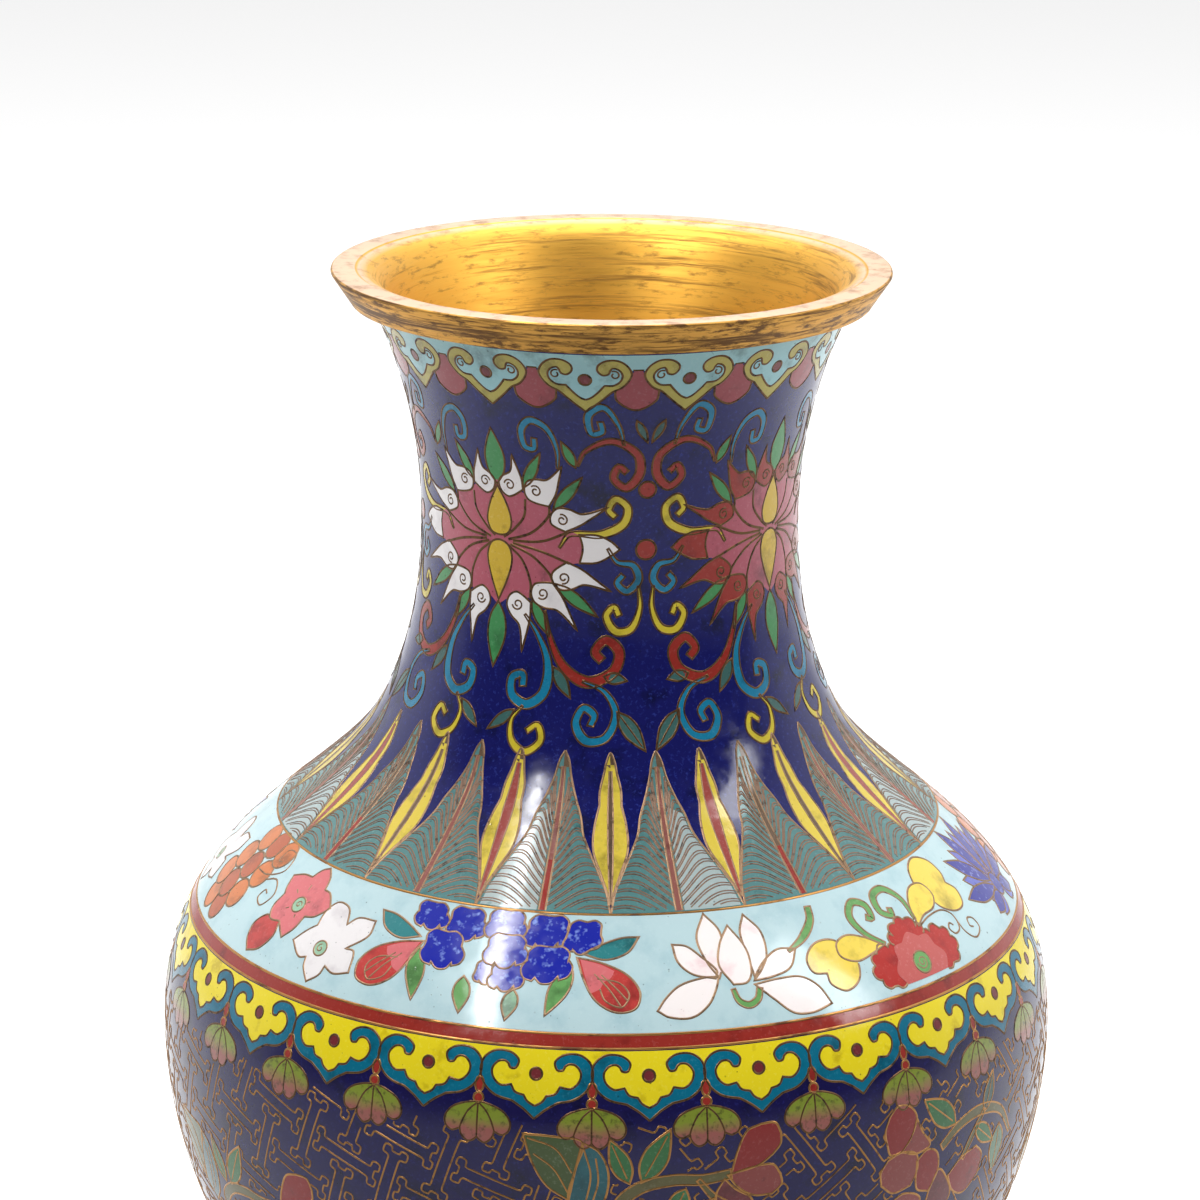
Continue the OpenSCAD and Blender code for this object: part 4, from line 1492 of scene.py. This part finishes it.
def bough(centre, level, turns, mirror=False):
    """A larger blossom with its leaves."""
    drawing = Blossom((44, -140), centre, level, turns, mirror)
    drawing.branch(1.9, [(62, -143), (58.5, -137.4), (53.5, -135.2), (49.0, -136.0), (45.6, -138.6)])
    drawing.branch(1.2, [(54.5, -135.4), (52.0, -139.0), (50.0, -142.6)])
    for finish, base, tip, width in (
        ("deep_green", (48.2, -135.4), (42.4, -129.0), 4.4),
        ("deep_sage", (54.5, -136.0), (56.6, -129.4), 3.0),
        ("deep_green", (52.4, -137.6), (57.2, -142.6), 3.2),
        ("deep_mint", (58.6, -140.0), (58.2, -149.0), 4.6)
    ):
        drawing.leaf(finish, base, tip, width)
    drawing.cell("deep_flower_red", [
        (36.2, -134.8, 1), (35.9, -132.4), (36.6, -130.0, 1), (38.0, -128.6), (39.9, -129.2),
        (41.0, -131.4), (40.2, -134.4), (38.6, -136.8, 1), (36.8, -136.8)
    ])
    drawing.cell("deep_salmon", [
        (41.0, -131.6, 1), (41.9, -134.2), (43.4, -137.2), (41.0, -138.0), (38.6, -136.8, 1), (40.2, -134.4)
    ])
    drawing.cell("deep_salmon", [
        (36.4, -137.6, 1), (38.6, -136.9), (41.0, -138.0), (41.4, -141.0), (40.4, -143.6, 1),
        (37.6, -144.0), (35.6, -142.0, 1), (35.4, -139.6)
    ])
    drawing.cell("deep_flower_red", [
        (41.2, -139.4, 1), (43.0, -138.0), (44.8, -139.2), (45.2, -142.6), (43.8, -146.0, 1), (41.6, -144.6)
    ])
    drawing.cell("deep_rose", [
        (43.9, -146.2, 1), (45.4, -142.6), (47.2, -145.0), (48.4, -148.6), (46.4, -151.8, 1), (43.6, -150.6)
    ])
    drawing.cell("deep_flower_red", [
        (47.4, -144.6, 1), (49.8, -142.4), (53.0, -141.6, 1), (54.6, -143.8), (54.2, -147.4, 1),
        (51.4, -149.6), (48.8, -148.0)
    ])
    drawing.cell("deep_salmon", [
        (36.6, -146.4, 1), (39.4, -144.8), (42.4, -146.6), (42.2, -150.0, 1), (39.0, -151.4), (36.4, -149.6)
    ])


def belly():
    """Blossom sprays on a fret of gold wires."""
    ground("belly_enamel", "belly", "navy")
    spray(8, -136, (0, 180))
    bough(44, -140, (0, 180))
    spray(-52, -152, (0, 180))
    bough(-92, -150, (0, 180), mirror=True)
    spray(26, -178, (0, 120, 240), mirror=True)
    bough(84, -182, (0, 120, 240))
    fret(BAND_SIDES["belly_enamel"][0][0], BAND_SIDES["belly_enamel"][-1][0])


def waist():
    """Scrolls and small flowers on the cobalt waist."""
    band = "waist"
    ground("waist_enamel", band, "cobalt")
    side = BAND_SIDES["waist_enamel"]
    middle = (side[0][0] + side[-1][0]) / 2
    axes = [22.5 + 45 * k for k in range(8)]
    flowers_at = [Chart(axis, middle) for axis in axes]
    halves = flowers_at + [Chart(axis, middle, mirror=True) for axis in axes]
    for k in range(6):
        lean = 60 * k
        petal = moved_to(leaf(6.4, 3.8, 0.6), 0, 0, lean)
        cell(band, "pink" if k % 2 else "white", petal, flowers_at, 2)
    cell(band, "drop_yellow", circle(0, 0, 1.7), flowers_at, 3)
    scroll(band, "turquoise", [
        (2.2, 6.6), (5.0, 9.6), (9.0, 10.8), (12.4, 8.6), (11.2, 5.6), (8.6, 6.4), (9.8, 8.2)
    ], halves, 1.5)
    scroll(band, "brick", [
        (2.2, -6.6), (5.2, -9.4), (9.2, -10.8), (12.4, -8.8), (11.4, -5.6), (8.8, -6.2), (9.8, -8.0)
    ], halves, 1.5)
    scroll(band, "lemon", [
        (6.6, 0.2), (9.6, 1.6), (12.6, 0.6), (12.2, -2.2), (9.8, -2.2), (10.4, -0.6)
    ], halves, 1.3)
    cell(band, "green", moved_to(leaf(5.4, 2.2), 0, 7.2, 0), flowers_at, 1)
    cell(band, "green", moved_to(leaf(5.4, 2.2), 0, -7.2, 180), flowers_at, 1)


def heel():
    """Small standing lappets above the foot."""
    band, node = "heel", "heel_enamel"
    ground(node, band, "cobalt")
    low, high = BAND_SIDES[node][0][0], BAND_SIDES[node][-1][0]
    count = 18
    pitch = 360 / count
    charts = [Chart(pitch * k, low + 0.1) for k in range(count)]
    width = math.radians(pitch) * 47.0 / 2 - 0.7
    tall = float(arc_at(high) - arc_at(low)) - 1.2
    outer = [
        (width, 0, 1), (width, tall * 0.35), (width * 0.75, tall * 0.68), (width * 0.3, tall * 0.82),
        (0, tall, 1)
    ]
    inner = [
        (width - 1.6, 0, 1), (width - 1.6, tall * 0.33), (width * 0.48, tall * 0.58), (0, tall * 0.74, 1)
    ]
    cell(band, "teal", curve(mirrored([(0, 0, 1)] + outer), closed=True), charts, 1)
    cell(band, "collar_blue", curve(mirrored([(0, 0, 1)] + inner), closed=True), charts, 2)
    cell(band, "lemon", moved_to(leaf(tall * 0.5, 3.0), 0, 0.5), charts, 3)


# ---- Turned metal and the plain inside ------------------------------------------------------------

def lip_look():
    """The lip ring, with its inner face run smoothly into the neck."""
    outline = outline_of("lip_ring")
    inner_r = outline[outline[:, 1] > TOP - 0.01][:, 0].min()

    def flared(points):
        """Which points lie on the inner face, below the rounded edge."""
        return (points[:, 0] < inner_r - 0.3) & (points[:, 1] < TOP - 0.7)

    first = np.flatnonzero(flared(outline) & ~np.roll(flared(outline), 1))[0]
    kept = np.roll(outline, -int(first), axis=0)
    kept = kept[~flared(kept)]
    seat = outline[np.argmin(outline[:, 0])]
    start = kept[-1]
    neck_slope = np.array([0.44, 0.9])
    pull = seat + neck_slope * 3.9
    share = np.linspace(0, 1, 17)[1:, None]
    sweep = (1 - share)**2 * start + 2 * share * (1 - share) * pull + share**2 * seat
    turned("lip_ring", "gilt", np.concatenate([kept, sweep]))


def metal_parts():
    """The gilt rings, the bare copper, the ring wires and the plain red lines."""
    lip_look()
    turned_copy("foot_ring", "foot_ring", "gilt")
    for node in ("neck_shell", "shoulder_shell", "bowl_shell", "foot_shell"):
        turned_copy(node, node, "gilt_inside")
    for node in sorted(NODES):
        if node.startswith("wire_"):
            ring_wire(node)
        if node.startswith("red_line"):
            ground(node, node, "brick")


# ---- Finishes -------------------------------------------------------------------------------------

def linear(colour):
    """A colour of 0 to 255 in Blender's linear light."""
    shares = [c / 255 for c in colour]
    light = [c / 255 / 12.92 if c <= 10.3 else ((share + 0.055) / 1.055) ** 2.4 for c, share in zip(
        colour, shares
    )]
    return tuple(light) + (1.0,)


class Graph:
    """Short names for the shader nodes that the finishes share."""

    def __init__(self, name):
        self.material = bpy.data.materials.new(name)
        self.material.use_nodes = True
        self.tree = self.material.node_tree
        self.tree.nodes.clear()
        output = self.tree.nodes.new("ShaderNodeOutputMaterial")
        self.shader = self.tree.nodes.new("ShaderNodeBsdfPrincipled")
        self.link(self.shader.outputs[0], output.inputs[0])
        self.place = self.tree.nodes.new("ShaderNodeTexCoord").outputs["Object"]

    def link(self, source, target):
        """Joins two sockets."""
        self.tree.links.new(source, target)

    def scaled(self, x, y, z):
        """The place on the piece, with each axis scaled."""
        node = self.tree.nodes.new("ShaderNodeMapping")
        node.inputs["Scale"].default_value = (x, y, z)
        self.link(self.place, node.inputs["Vector"])
        return node.outputs[0]

    def noise(self, scale, detail=3.0, rough=0.55, place=None):
        """Cloudy noise, 0 to 1."""
        node = self.tree.nodes.new("ShaderNodeTexNoise")
        node.inputs["Scale"].default_value = scale
        node.inputs["Detail"].default_value = detail
        node.inputs["Roughness"].default_value = rough
        self.link(place or self.place, node.inputs["Vector"])
        return node.outputs["Fac"]

    def cells(self, scale):
        """Distance from the middle of the nearest random cell."""
        node = self.tree.nodes.new("ShaderNodeTexVoronoi")
        node.inputs["Scale"].default_value = scale
        self.link(self.place, node.inputs["Vector"])
        return node.outputs["Distance"]

    def span(self, source, low, high, to_low=0.0, to_high=1.0):
        """A value stretched from one range to another."""
        node = self.tree.nodes.new("ShaderNodeMapRange")
        for socket, value in zip(("From Min", "From Max", "To Min", "To Max"), (low, high, to_low, to_high)):
            node.inputs[socket].default_value = value
        self.link(source, node.inputs["Value"])
        return node.outputs[0]

    def calc(self, a, b, operation="MULTIPLY"):
        """Two values joined by a sum."""
        node = self.tree.nodes.new("ShaderNodeMath")
        node.operation = operation
        for socket, value in zip(node.inputs, (a, b)):
            if isinstance(value, (int, float)):
                socket.default_value = value
            else:
                self.link(value, socket)
        return node.outputs[0]

    def mix(self, share, first, second):
        """A blend of two colours."""
        node = self.tree.nodes.new("ShaderNodeMix")
        node.data_type = "RGBA"
        self.link(share, node.inputs[0])
        for socket, value in zip((node.inputs[6], node.inputs[7]), (first, second)):
            if isinstance(value, tuple):
                socket.default_value = value
            else:
                self.link(value, socket)
        return node.outputs[2]

    def bump(self, height, distance, strength):
        """Relief on the surface."""
        node = self.tree.nodes.new("ShaderNodeBump")
        node.inputs["Distance"].default_value = distance
        node.inputs["Strength"].default_value = strength
        self.link(height, node.inputs["Height"])
        self.link(node.outputs[0], self.shader.inputs["Normal"])

    def set(self, **values):
        """Sets or links the shader's sockets, named with _ for a space."""
        for socket, value in values.items():
            socket = self.shader.inputs[socket.replace("_", " ")]
            if isinstance(value, (int, float, tuple)):
                socket.default_value = value
            else:
                self.link(value, socket)


def enamel(name, colour, deep=None, pale=None, pits=0.5, mottle=0.5, rough=0.12, grain=1500):
    """Ground and polished enamel: cloudy colour, fine grain, dark pinholes and a wavy gloss."""
    graph = Graph(name)
    deep = deep or tuple(c * 0.72 for c in colour)
    pale = pale or tuple(c + (255 - c) * 0.18 for c in colour)
    cloud = graph.noise(170, 4.0, 0.6)
    specks = graph.noise(grain, 2.0, 0.7)
    dark = graph.mix(graph.span(cloud, 0.62 - 0.3 * mottle, 0.3, 0.0, 0.9), linear(colour), linear(deep))
    both = graph.mix(graph.span(specks, 0.56, 0.74, 0.0, 0.75 * mottle + 0.1), dark, linear(pale))
    hole = graph.span(graph.cells(310), 0.04, 0.07, 1.0, 0.0)
    rare = graph.span(graph.noise(95, 1.0), 0.42, 0.55)
    fine = graph.span(graph.cells(900), 0.06, 0.13, 1.0, 0.0)
    common = graph.span(graph.noise(240, 1.0), 0.5, 0.66)
    pit = graph.calc(graph.calc(hole, rare), graph.calc(fine, common), "MAXIMUM")
    pit_colour = linear(tuple(c * 0.22 for c in deep))
    graph.set(
        Base_Color=graph.mix(graph.calc(pit, pits), both, pit_colour),
        Roughness=graph.span(graph.noise(420, 2.0), 0.35, 0.7, rough * 0.8, rough * 1.8)
    )
    graph.shader.inputs["IOR"].default_value = 1.45
    relief = graph.calc(graph.noise(330, 2.0, 0.5), graph.calc(pit, -0.9), "ADD")
    graph.bump(relief, 0.00003, 0.55)
    return graph.material


def pendant_enamel(name):
    """Yellow-green at the top of the pendants, pink at the bottom."""
    graph = Graph(name)
    parts = graph.tree.nodes.new("ShaderNodeSeparateXYZ")
    graph.link(graph.place, parts.inputs[0])
    cloud = graph.calc(graph.noise(420, 3.0), 0.0022)
    height = graph.calc(parts.outputs[2], cloud, "ADD")
    top = (TOP - 124.4) * MM
    share = graph.span(height, top + 0.0004, top - 0.0020)
    base = graph.mix(share, linear((124, 138, 46)), linear((146, 84, 76)))
    grain = graph.span(graph.noise(900, 2.0, 0.7), 0.52, 0.70, 0.0, 0.65)
    graph.set(Base_Color=graph.mix(grain, base, linear((62, 62, 36))), Roughness=0.16)
    graph.bump(graph.noise(330, 2.0), 0.00003, 0.5)
    return graph.material


def brass(name, colour, stain, amount=0.5, rough=0.3, streak=(300, 300, 300)):
    """Gilding or wire: metal with dark stains that can run in streaks."""
    graph = Graph(name)
    place = graph.scaled(*streak)
    worn = graph.noise(1.0, 5.0, 0.65, place)
    share = graph.span(worn, 0.72 - 0.4 * amount, 0.78 - 0.25 * amount)
    graph.set(
        Base_Color=graph.mix(share, linear(colour), linear(stain)),
        Metallic=graph.span(share, 0.0, 1.0, 1.0, 0.75),
        Roughness=graph.span(share, 0.0, 1.0, rough, min(0.75, rough + 0.25))
    )
    graph.bump(worn, 0.00004, 0.4)
    return graph.material


def gilt_with_painted_top_highlight(name):
    """Gilding: scratched round the axis inside, flecked dark outside, and pale on upward faces as a painted
    highlight, with dark flecks.
    """
    graph = Graph(name)
    wide = graph.noise(1.0, 4.0, 0.6, graph.scaled(22, 22, 480))
    thin = graph.noise(1.0, 4.0, 0.7, graph.scaled(70, 70, 2300))
    fleck = graph.noise(1.0, 5.0, 0.7, graph.scaled(230, 230, 1000))
    facing = graph.tree.nodes.new("ShaderNodeNewGeometry").outputs["Normal"]
    parts = graph.tree.nodes.new("ShaderNodeSeparateXYZ")
    graph.link(facing, parts.inputs[0])
    # Faces that point up: the mask of the painted highlight on tops such as the lip's.
    flat = graph.span(parts.outputs[2], 0.90, 0.985)
    reach = graph.tree.nodes.new("ShaderNodeVectorMath")
    reach.operation = "DOT_PRODUCT"
    graph.link(facing, reach.inputs[0])
    graph.link(graph.scaled(1, 1, 0), reach.inputs[1])
    outside = graph.span(reach.outputs["Value"], 0.0, 0.02)
    streak = graph.calc(wide, thin)
    scratched = graph.calc(
        graph.span(streak, 0.27, 0.40, 0.0, 0.65), graph.span(fleck, 0.54, 0.70, 0.0, 0.6), "MAXIMUM"
    )
    stained = graph.calc(
        graph.span(streak, 0.25, 0.33, 0.0, 0.9), graph.span(fleck, 0.48, 0.60, 0.0, 0.9), "MAXIMUM"
    )
    share = graph.calc(scratched, graph.calc(stained, outside), "MAXIMUM")
    bright = graph.mix(outside, linear((226, 174, 76)), linear((208, 158, 80)))
    gold = graph.mix(share, bright, linear((84, 54, 30)))
    # Painted highlight: upward faces such as the lip's top are coloured pale, with dark flecks.
    painted_top_highlight_and_flecks = graph.mix(
        graph.span(fleck, 0.5, 0.68, 0.0, 0.7), linear((222, 192, 164)), linear((150, 104, 72))
    )
    graph.set(
        Base_Color=graph.mix(flat, gold, painted_top_highlight_and_flecks),
        Metallic=graph.span(share, 0.0, 1.0, 1.0, 0.7),
        Roughness=graph.span(thin, 0.3, 0.7, 0.42, 0.6)
    )
    graph.bump(graph.calc(thin, fleck, "ADD"), 0.00004, 0.35)
    return graph.material


FINISHES = {
    # finish: (slot name, function, colour and the function's other values)
    "cobalt": ("enamel_cobalt", enamel, (19, 22, 92), (9, 12, 50), (48, 62, 156), 0.35, 0.55),
    "navy": ("enamel_cobalt", enamel, (22, 18, 72), (12, 10, 40), (40, 44, 120), 0.35, 0.5),
    "collar_blue": ("enamel_pale_blue", enamel, (150, 196, 202)),
    "pale_blue": ("enamel_pale_blue", enamel, (186, 213, 218), (168, 200, 208), None, 0.6, 0.35),
    "olive": ("enamel_olive", enamel, (176, 164, 78)),
    "maroon": ("enamel_red", enamel, (112, 44, 48)),
    "rose": ("enamel_red", enamel, (150, 66, 74)),
    "brick": ("enamel_red", enamel, (148, 46, 38), (110, 30, 28)),
    "pink": ("enamel_pink", enamel, (172, 84, 100)),
    "white": ("enamel_white", enamel, (232, 228, 228), (210, 204, 206), None, 0.7, 0.4),
    "umber": ("enamel_olive", enamel, (104, 84, 66)),
    "frost": ("enamel_pale_blue", enamel, (166, 182, 182), (132, 158, 158), None, 0.5, 0.9),
    "sapphire": ("enamel_blue", enamel, (30, 40, 160), (18, 24, 108), (150, 176, 240), 0.3, 0.9, 0.12, 650),
    "violet": ("enamel_blue", enamel, (44, 46, 146), (30, 30, 104), (150, 160, 226), 0.3, 0.8, 0.12, 700),
    "lilac": ("enamel_blue", enamel, (96, 104, 190), (50, 54, 150), None, 0.3, 0.9, 0.12, 700),
    "mint": ("enamel_green", enamel, (150, 190, 160)),
    "teal_leaf": ("enamel_teal", enamel, (52, 128, 132)),
    "berry_red": ("enamel_red", enamel, (190, 66, 62)),
    "coral": ("enamel_pink", enamel, (212, 112, 116)),
    "petal": ("enamel_white", enamel, (250, 242, 240), (242, 216, 218), None, 0.3, 0.5),
    "fruit_yellow": ("enamel_yellow", enamel, (238, 210, 86), None, None, 0.4, 0.4),
    "flower_red": ("enamel_red", enamel, (176, 46, 40), (140, 32, 32)),
    "salmon": ("enamel_pink", enamel, (190, 92, 88), (160, 60, 60), None, 0.4, 0.8),
    "orange": ("enamel_orange", enamel, (206, 118, 62)),
    "rust": ("enamel_orange", enamel, (178, 88, 50)),
    "dusky_red": ("enamel_red", enamel, (142, 88, 80), (112, 66, 60), None, 0.5, 0.7),
    "deep_flower_red": ("enamel_red", enamel, (130, 36, 34), (92, 26, 28), None, 0.4, 0.7),
    "deep_salmon": ("enamel_pink", enamel, (132, 62, 58), (98, 42, 42), None, 0.4, 0.8),
    "deep_rose": ("enamel_red", enamel, (106, 48, 52)),
    "deep_green": ("enamel_green", enamel, (50, 104, 60), (34, 72, 44), None, 0.4, 0.8),
    "deep_olive_leaf": ("enamel_olive", enamel, (66, 82, 46), (42, 54, 34), None, 0.4, 0.9),
    "deep_teal_leaf": ("enamel_teal", enamel, (38, 92, 100)),
    "deep_sage": ("enamel_green", enamel, (46, 76, 70)),
    "deep_mint": ("enamel_green", enamel, (88, 122, 96)),
    "bough": ("enamel_olive", enamel, (92, 88, 52)),
    "pendant": ("enamel_green", pendant_enamel),
    "dark_wire": ("cloison_wire", brass, (104, 78, 54), (52, 38, 30), 0.5, 0.4, (900, 900, 900)),
    "green": ("enamel_green", enamel, (66, 138, 82)),
    "grass": ("enamel_green", enamel, (106, 162, 94)),
    "sage": ("enamel_green", enamel, (62, 100, 96)),
    "turquoise": ("enamel_turquoise", enamel, (24, 122, 158)),
    "teal": ("enamel_teal", enamel, (6, 104, 132)),
    "leaf_teal": ("enamel_teal", enamel, (84, 130, 130), (58, 98, 98), None, 0.5, 0.7),
    "lemon": ("enamel_yellow", enamel, (206, 186, 52)),
    "drop_yellow": ("enamel_yellow", enamel, (204, 170, 48), None, None, 0.9),
    "yellow": ("enamel_yellow", enamel, (230, 210, 32), (196, 172, 22), None, 0.8, 0.7),
    "leaf_yellow": ("enamel_yellow", enamel, (222, 198, 74)),
    "wire": ("cloison_wire", brass, (150, 122, 96), (104, 80, 62), 0.45, 0.42, (900, 900, 900)),
    "barb_wire": ("cloison_wire", brass, (134, 110, 94), (92, 76, 66), 0.5, 0.5, (900, 900, 900)),
    "worn_red": ("enamel_red", enamel, (156, 72, 66), (120, 70, 60), None, 0.6, 0.9),
    "gold_wire": ("cloison_wire", brass, (168, 124, 74), (110, 78, 50), 0.45, 0.34, (700, 700, 700)),
    "fret_wire": ("cloison_wire", brass, (156, 114, 66), (100, 72, 48), 0.45, 0.36, (700, 700, 700)),
    "ring_gilt": ("cloison_wire", brass, (186, 136, 78), (112, 74, 48), 0.5, 0.36, (160, 160, 900)),
    "gilt": ("gilt_copper", gilt_with_painted_top_highlight),
    "gilt_inside": ("raised_copper", gilt_with_painted_top_highlight)
}

# The CAD node that each ground stands for. A turned band has its node's own name.
STANDS_FOR = {
    (
        "collar", "cobalt"
    ): "collar_enamel", ("neck", "cobalt"): "neck_enamel", ("leaves", "cobalt"): "leaf_enamel",
    ("flowers", "pale_blue"): "floral_enamel", ("lappets", "navy"): "top_lappet_enamel",
    ("belly", "navy"): "belly_enamel", ("low_lappets", "navy"): "low_lappet_enamel",
    (
        "low_leaves", "cobalt"
    ): "low_leaf_enamel", ("waist", "cobalt"): "waist_enamel", ("heel", "cobalt"): "heel_enamel"
}


# ---- The pieces ----------------------------------------------------------------------------------

collar()
neck()
leaf_row("leaf_enamel", "leaves", -74.6, -96.1)
flowers("floral_enamel")
lappet_row("top_lappet_enamel", "lappets", False, -22.5, True)
lappet_row("low_lappet_enamel", "low_lappets", True, -22.5, False)
belly()
low_side = BAND_SIDES["low_leaf_enamel"]
leaf_row("low_leaf_enamel", "low_leaves", low_side[0][0] - TOP + 0.4, low_side[-1][0] - TOP, flip=True)
waist()
heel()
metal_parts()
for drawing in DRAWINGS:
    drawing.close()

materials = {}
for (band, finish), content in LAYERS.items():
    slot, maker, *values = FINISHES[finish]
    if finish not in materials:
        materials[finish] = maker(finish, *values)
    piece = content.build(f"{band}_{finish}_look")
    piece.data.materials.append(materials[finish])
    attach(piece, "root")
    stood_for = STANDS_FOR.get((band, finish), band)
    if stood_for in NODES:
        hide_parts(stood_for)

# The hidden pieces of copper keep their CAD shape.
for node in NODES.values():
    if not node.hide_render:
        node.data.materials.clear()
        node.data.materials.append(materials["gilt_inside"])


# ---- Floor, light and camera ------------------------------------------------------------------------

def floor():
    """A wide floor, grey in front as painted shade, that glows a little behind the vase as painted light."""
    mesh = bpy.data.meshes.new("floor")
    reach = 14.0
    corners = [(-reach, -reach, 0), (reach, -reach, 0), (reach, reach, 0), (-reach, reach, 0)]
    mesh.from_pydata(corners, [], [(0, 1, 2, 3)])
    piece = bpy.data.objects.new("floor", mesh)
    bpy.context.scene.collection.objects.link(piece)
    graph = Graph("pale_floor")
    parts = graph.tree.nodes.new("ShaderNodeSeparateXYZ")
    graph.link(graph.place, parts.inputs[0])
    # Painted light and shade: the floor turns paler and glows towards the back, and stays grey on the
    # camera's side.
    behind = graph.span(parts.outputs[1], -0.25, 0.3)
    graph.set(Base_Color=graph.mix(behind, (0.5, 0.5, 0.5, 1), (0.8, 0.8, 0.8, 1)), Roughness=0.9)
    graph.set(Emission_Strength=graph.span(behind, 0.0, 1.0, 0.0, 0.35))
    graph.shader.inputs["Specular IOR Level"].default_value = 0.0
    graph.shader.inputs["Emission Color"].default_value = (1, 1, 1, 1)
    mesh.materials.append(graph.material)


def world():
    """White surroundings behind and above, darker on the camera's side."""
    surroundings = bpy.data.worlds.new("studio")
    bpy.context.scene.world = surroundings
    surroundings.use_nodes = True
    tree = surroundings.node_tree
    tree.nodes.clear()
    place = tree.nodes.new("ShaderNodeTexCoord")
    parts = tree.nodes.new("ShaderNodeSeparateXYZ")
    tree.links.new(place.outputs["Generated"], parts.inputs[0])
    span = tree.nodes.new("ShaderNodeMapRange")
    span.interpolation_type = "SMOOTHSTEP"
    for socket, value in (("From Min", -0.3), ("From Max", 0.4), ("To Min", 0.10), ("To Max", 1.4)):
        span.inputs[socket].default_value = value
    tree.links.new(parts.outputs[1], span.inputs["Value"])
    back = tree.nodes.new("ShaderNodeBackground")
    tree.links.new(span.outputs[0], back.inputs["Strength"])
    output = tree.nodes.new("ShaderNodeOutputWorld")
    tree.links.new(back.outputs[0], output.inputs[0])


def softbox(name, azimuth, elevation, distance, width, height, power, roll=0.0):
    """An area light that faces the vase. Azimuth 0 is the camera's side, and grows towards +X."""
    light = bpy.data.lights.new(name, "AREA")
    light.shape = "RECTANGLE"
    light.size = width
    light.size_y = height
    light.energy = power
    lamp = bpy.data.objects.new(name, light)
    bpy.context.scene.collection.objects.link(lamp)
    middle = Vector((0, 0, 0.2))
    a, e = math.radians(azimuth), math.radians(elevation)
    toward = Vector((math.sin(a) * math.cos(e), -math.cos(a) * math.cos(e), math.sin(e)))
    lamp.location = middle + toward * distance
    spin = Quaternion((0, 0, 1), math.radians(roll))
    lamp.rotation_euler = (toward.to_track_quat("Z", "Y") @ spin).to_euler()


def camera():
    """Looks down on the neck from in front."""
    lens = bpy.data.cameras.new("camera")
    lens.sensor_width = 36.0
    lens.lens = 129.7
    lens.clip_start = 0.05
    eye = bpy.data.objects.new("camera", lens)
    bpy.context.scene.collection.objects.link(eye)
    eye.location = (-0.0016, -0.7268, float(cad_high[2]) + 0.1468)
    pitch, roll = math.radians(15.84), math.radians(0.4)
    forward = Vector((0, math.cos(pitch), -math.sin(pitch)))
    eye.rotation_mode = "QUATERNION"
    level = forward.to_track_quat("-Z", "Y")
    eye.rotation_quaternion = level @ Quaternion((0, 0, 1), roll)
    bpy.context.scene.camera = eye


floor()
world()
softbox("key", azimuth=-46, elevation=55, distance=1.5, width=0.1, height=1.0, power=14, roll=26)
softbox("side", azimuth=74, elevation=40, distance=1.5, width=0.3, height=0.9, power=9)
softbox("overhead", azimuth=180, elevation=72, distance=1.6, width=1.3, height=1.0, power=17)
camera()
bpy.context.scene.view_settings.view_transform = "Standard"
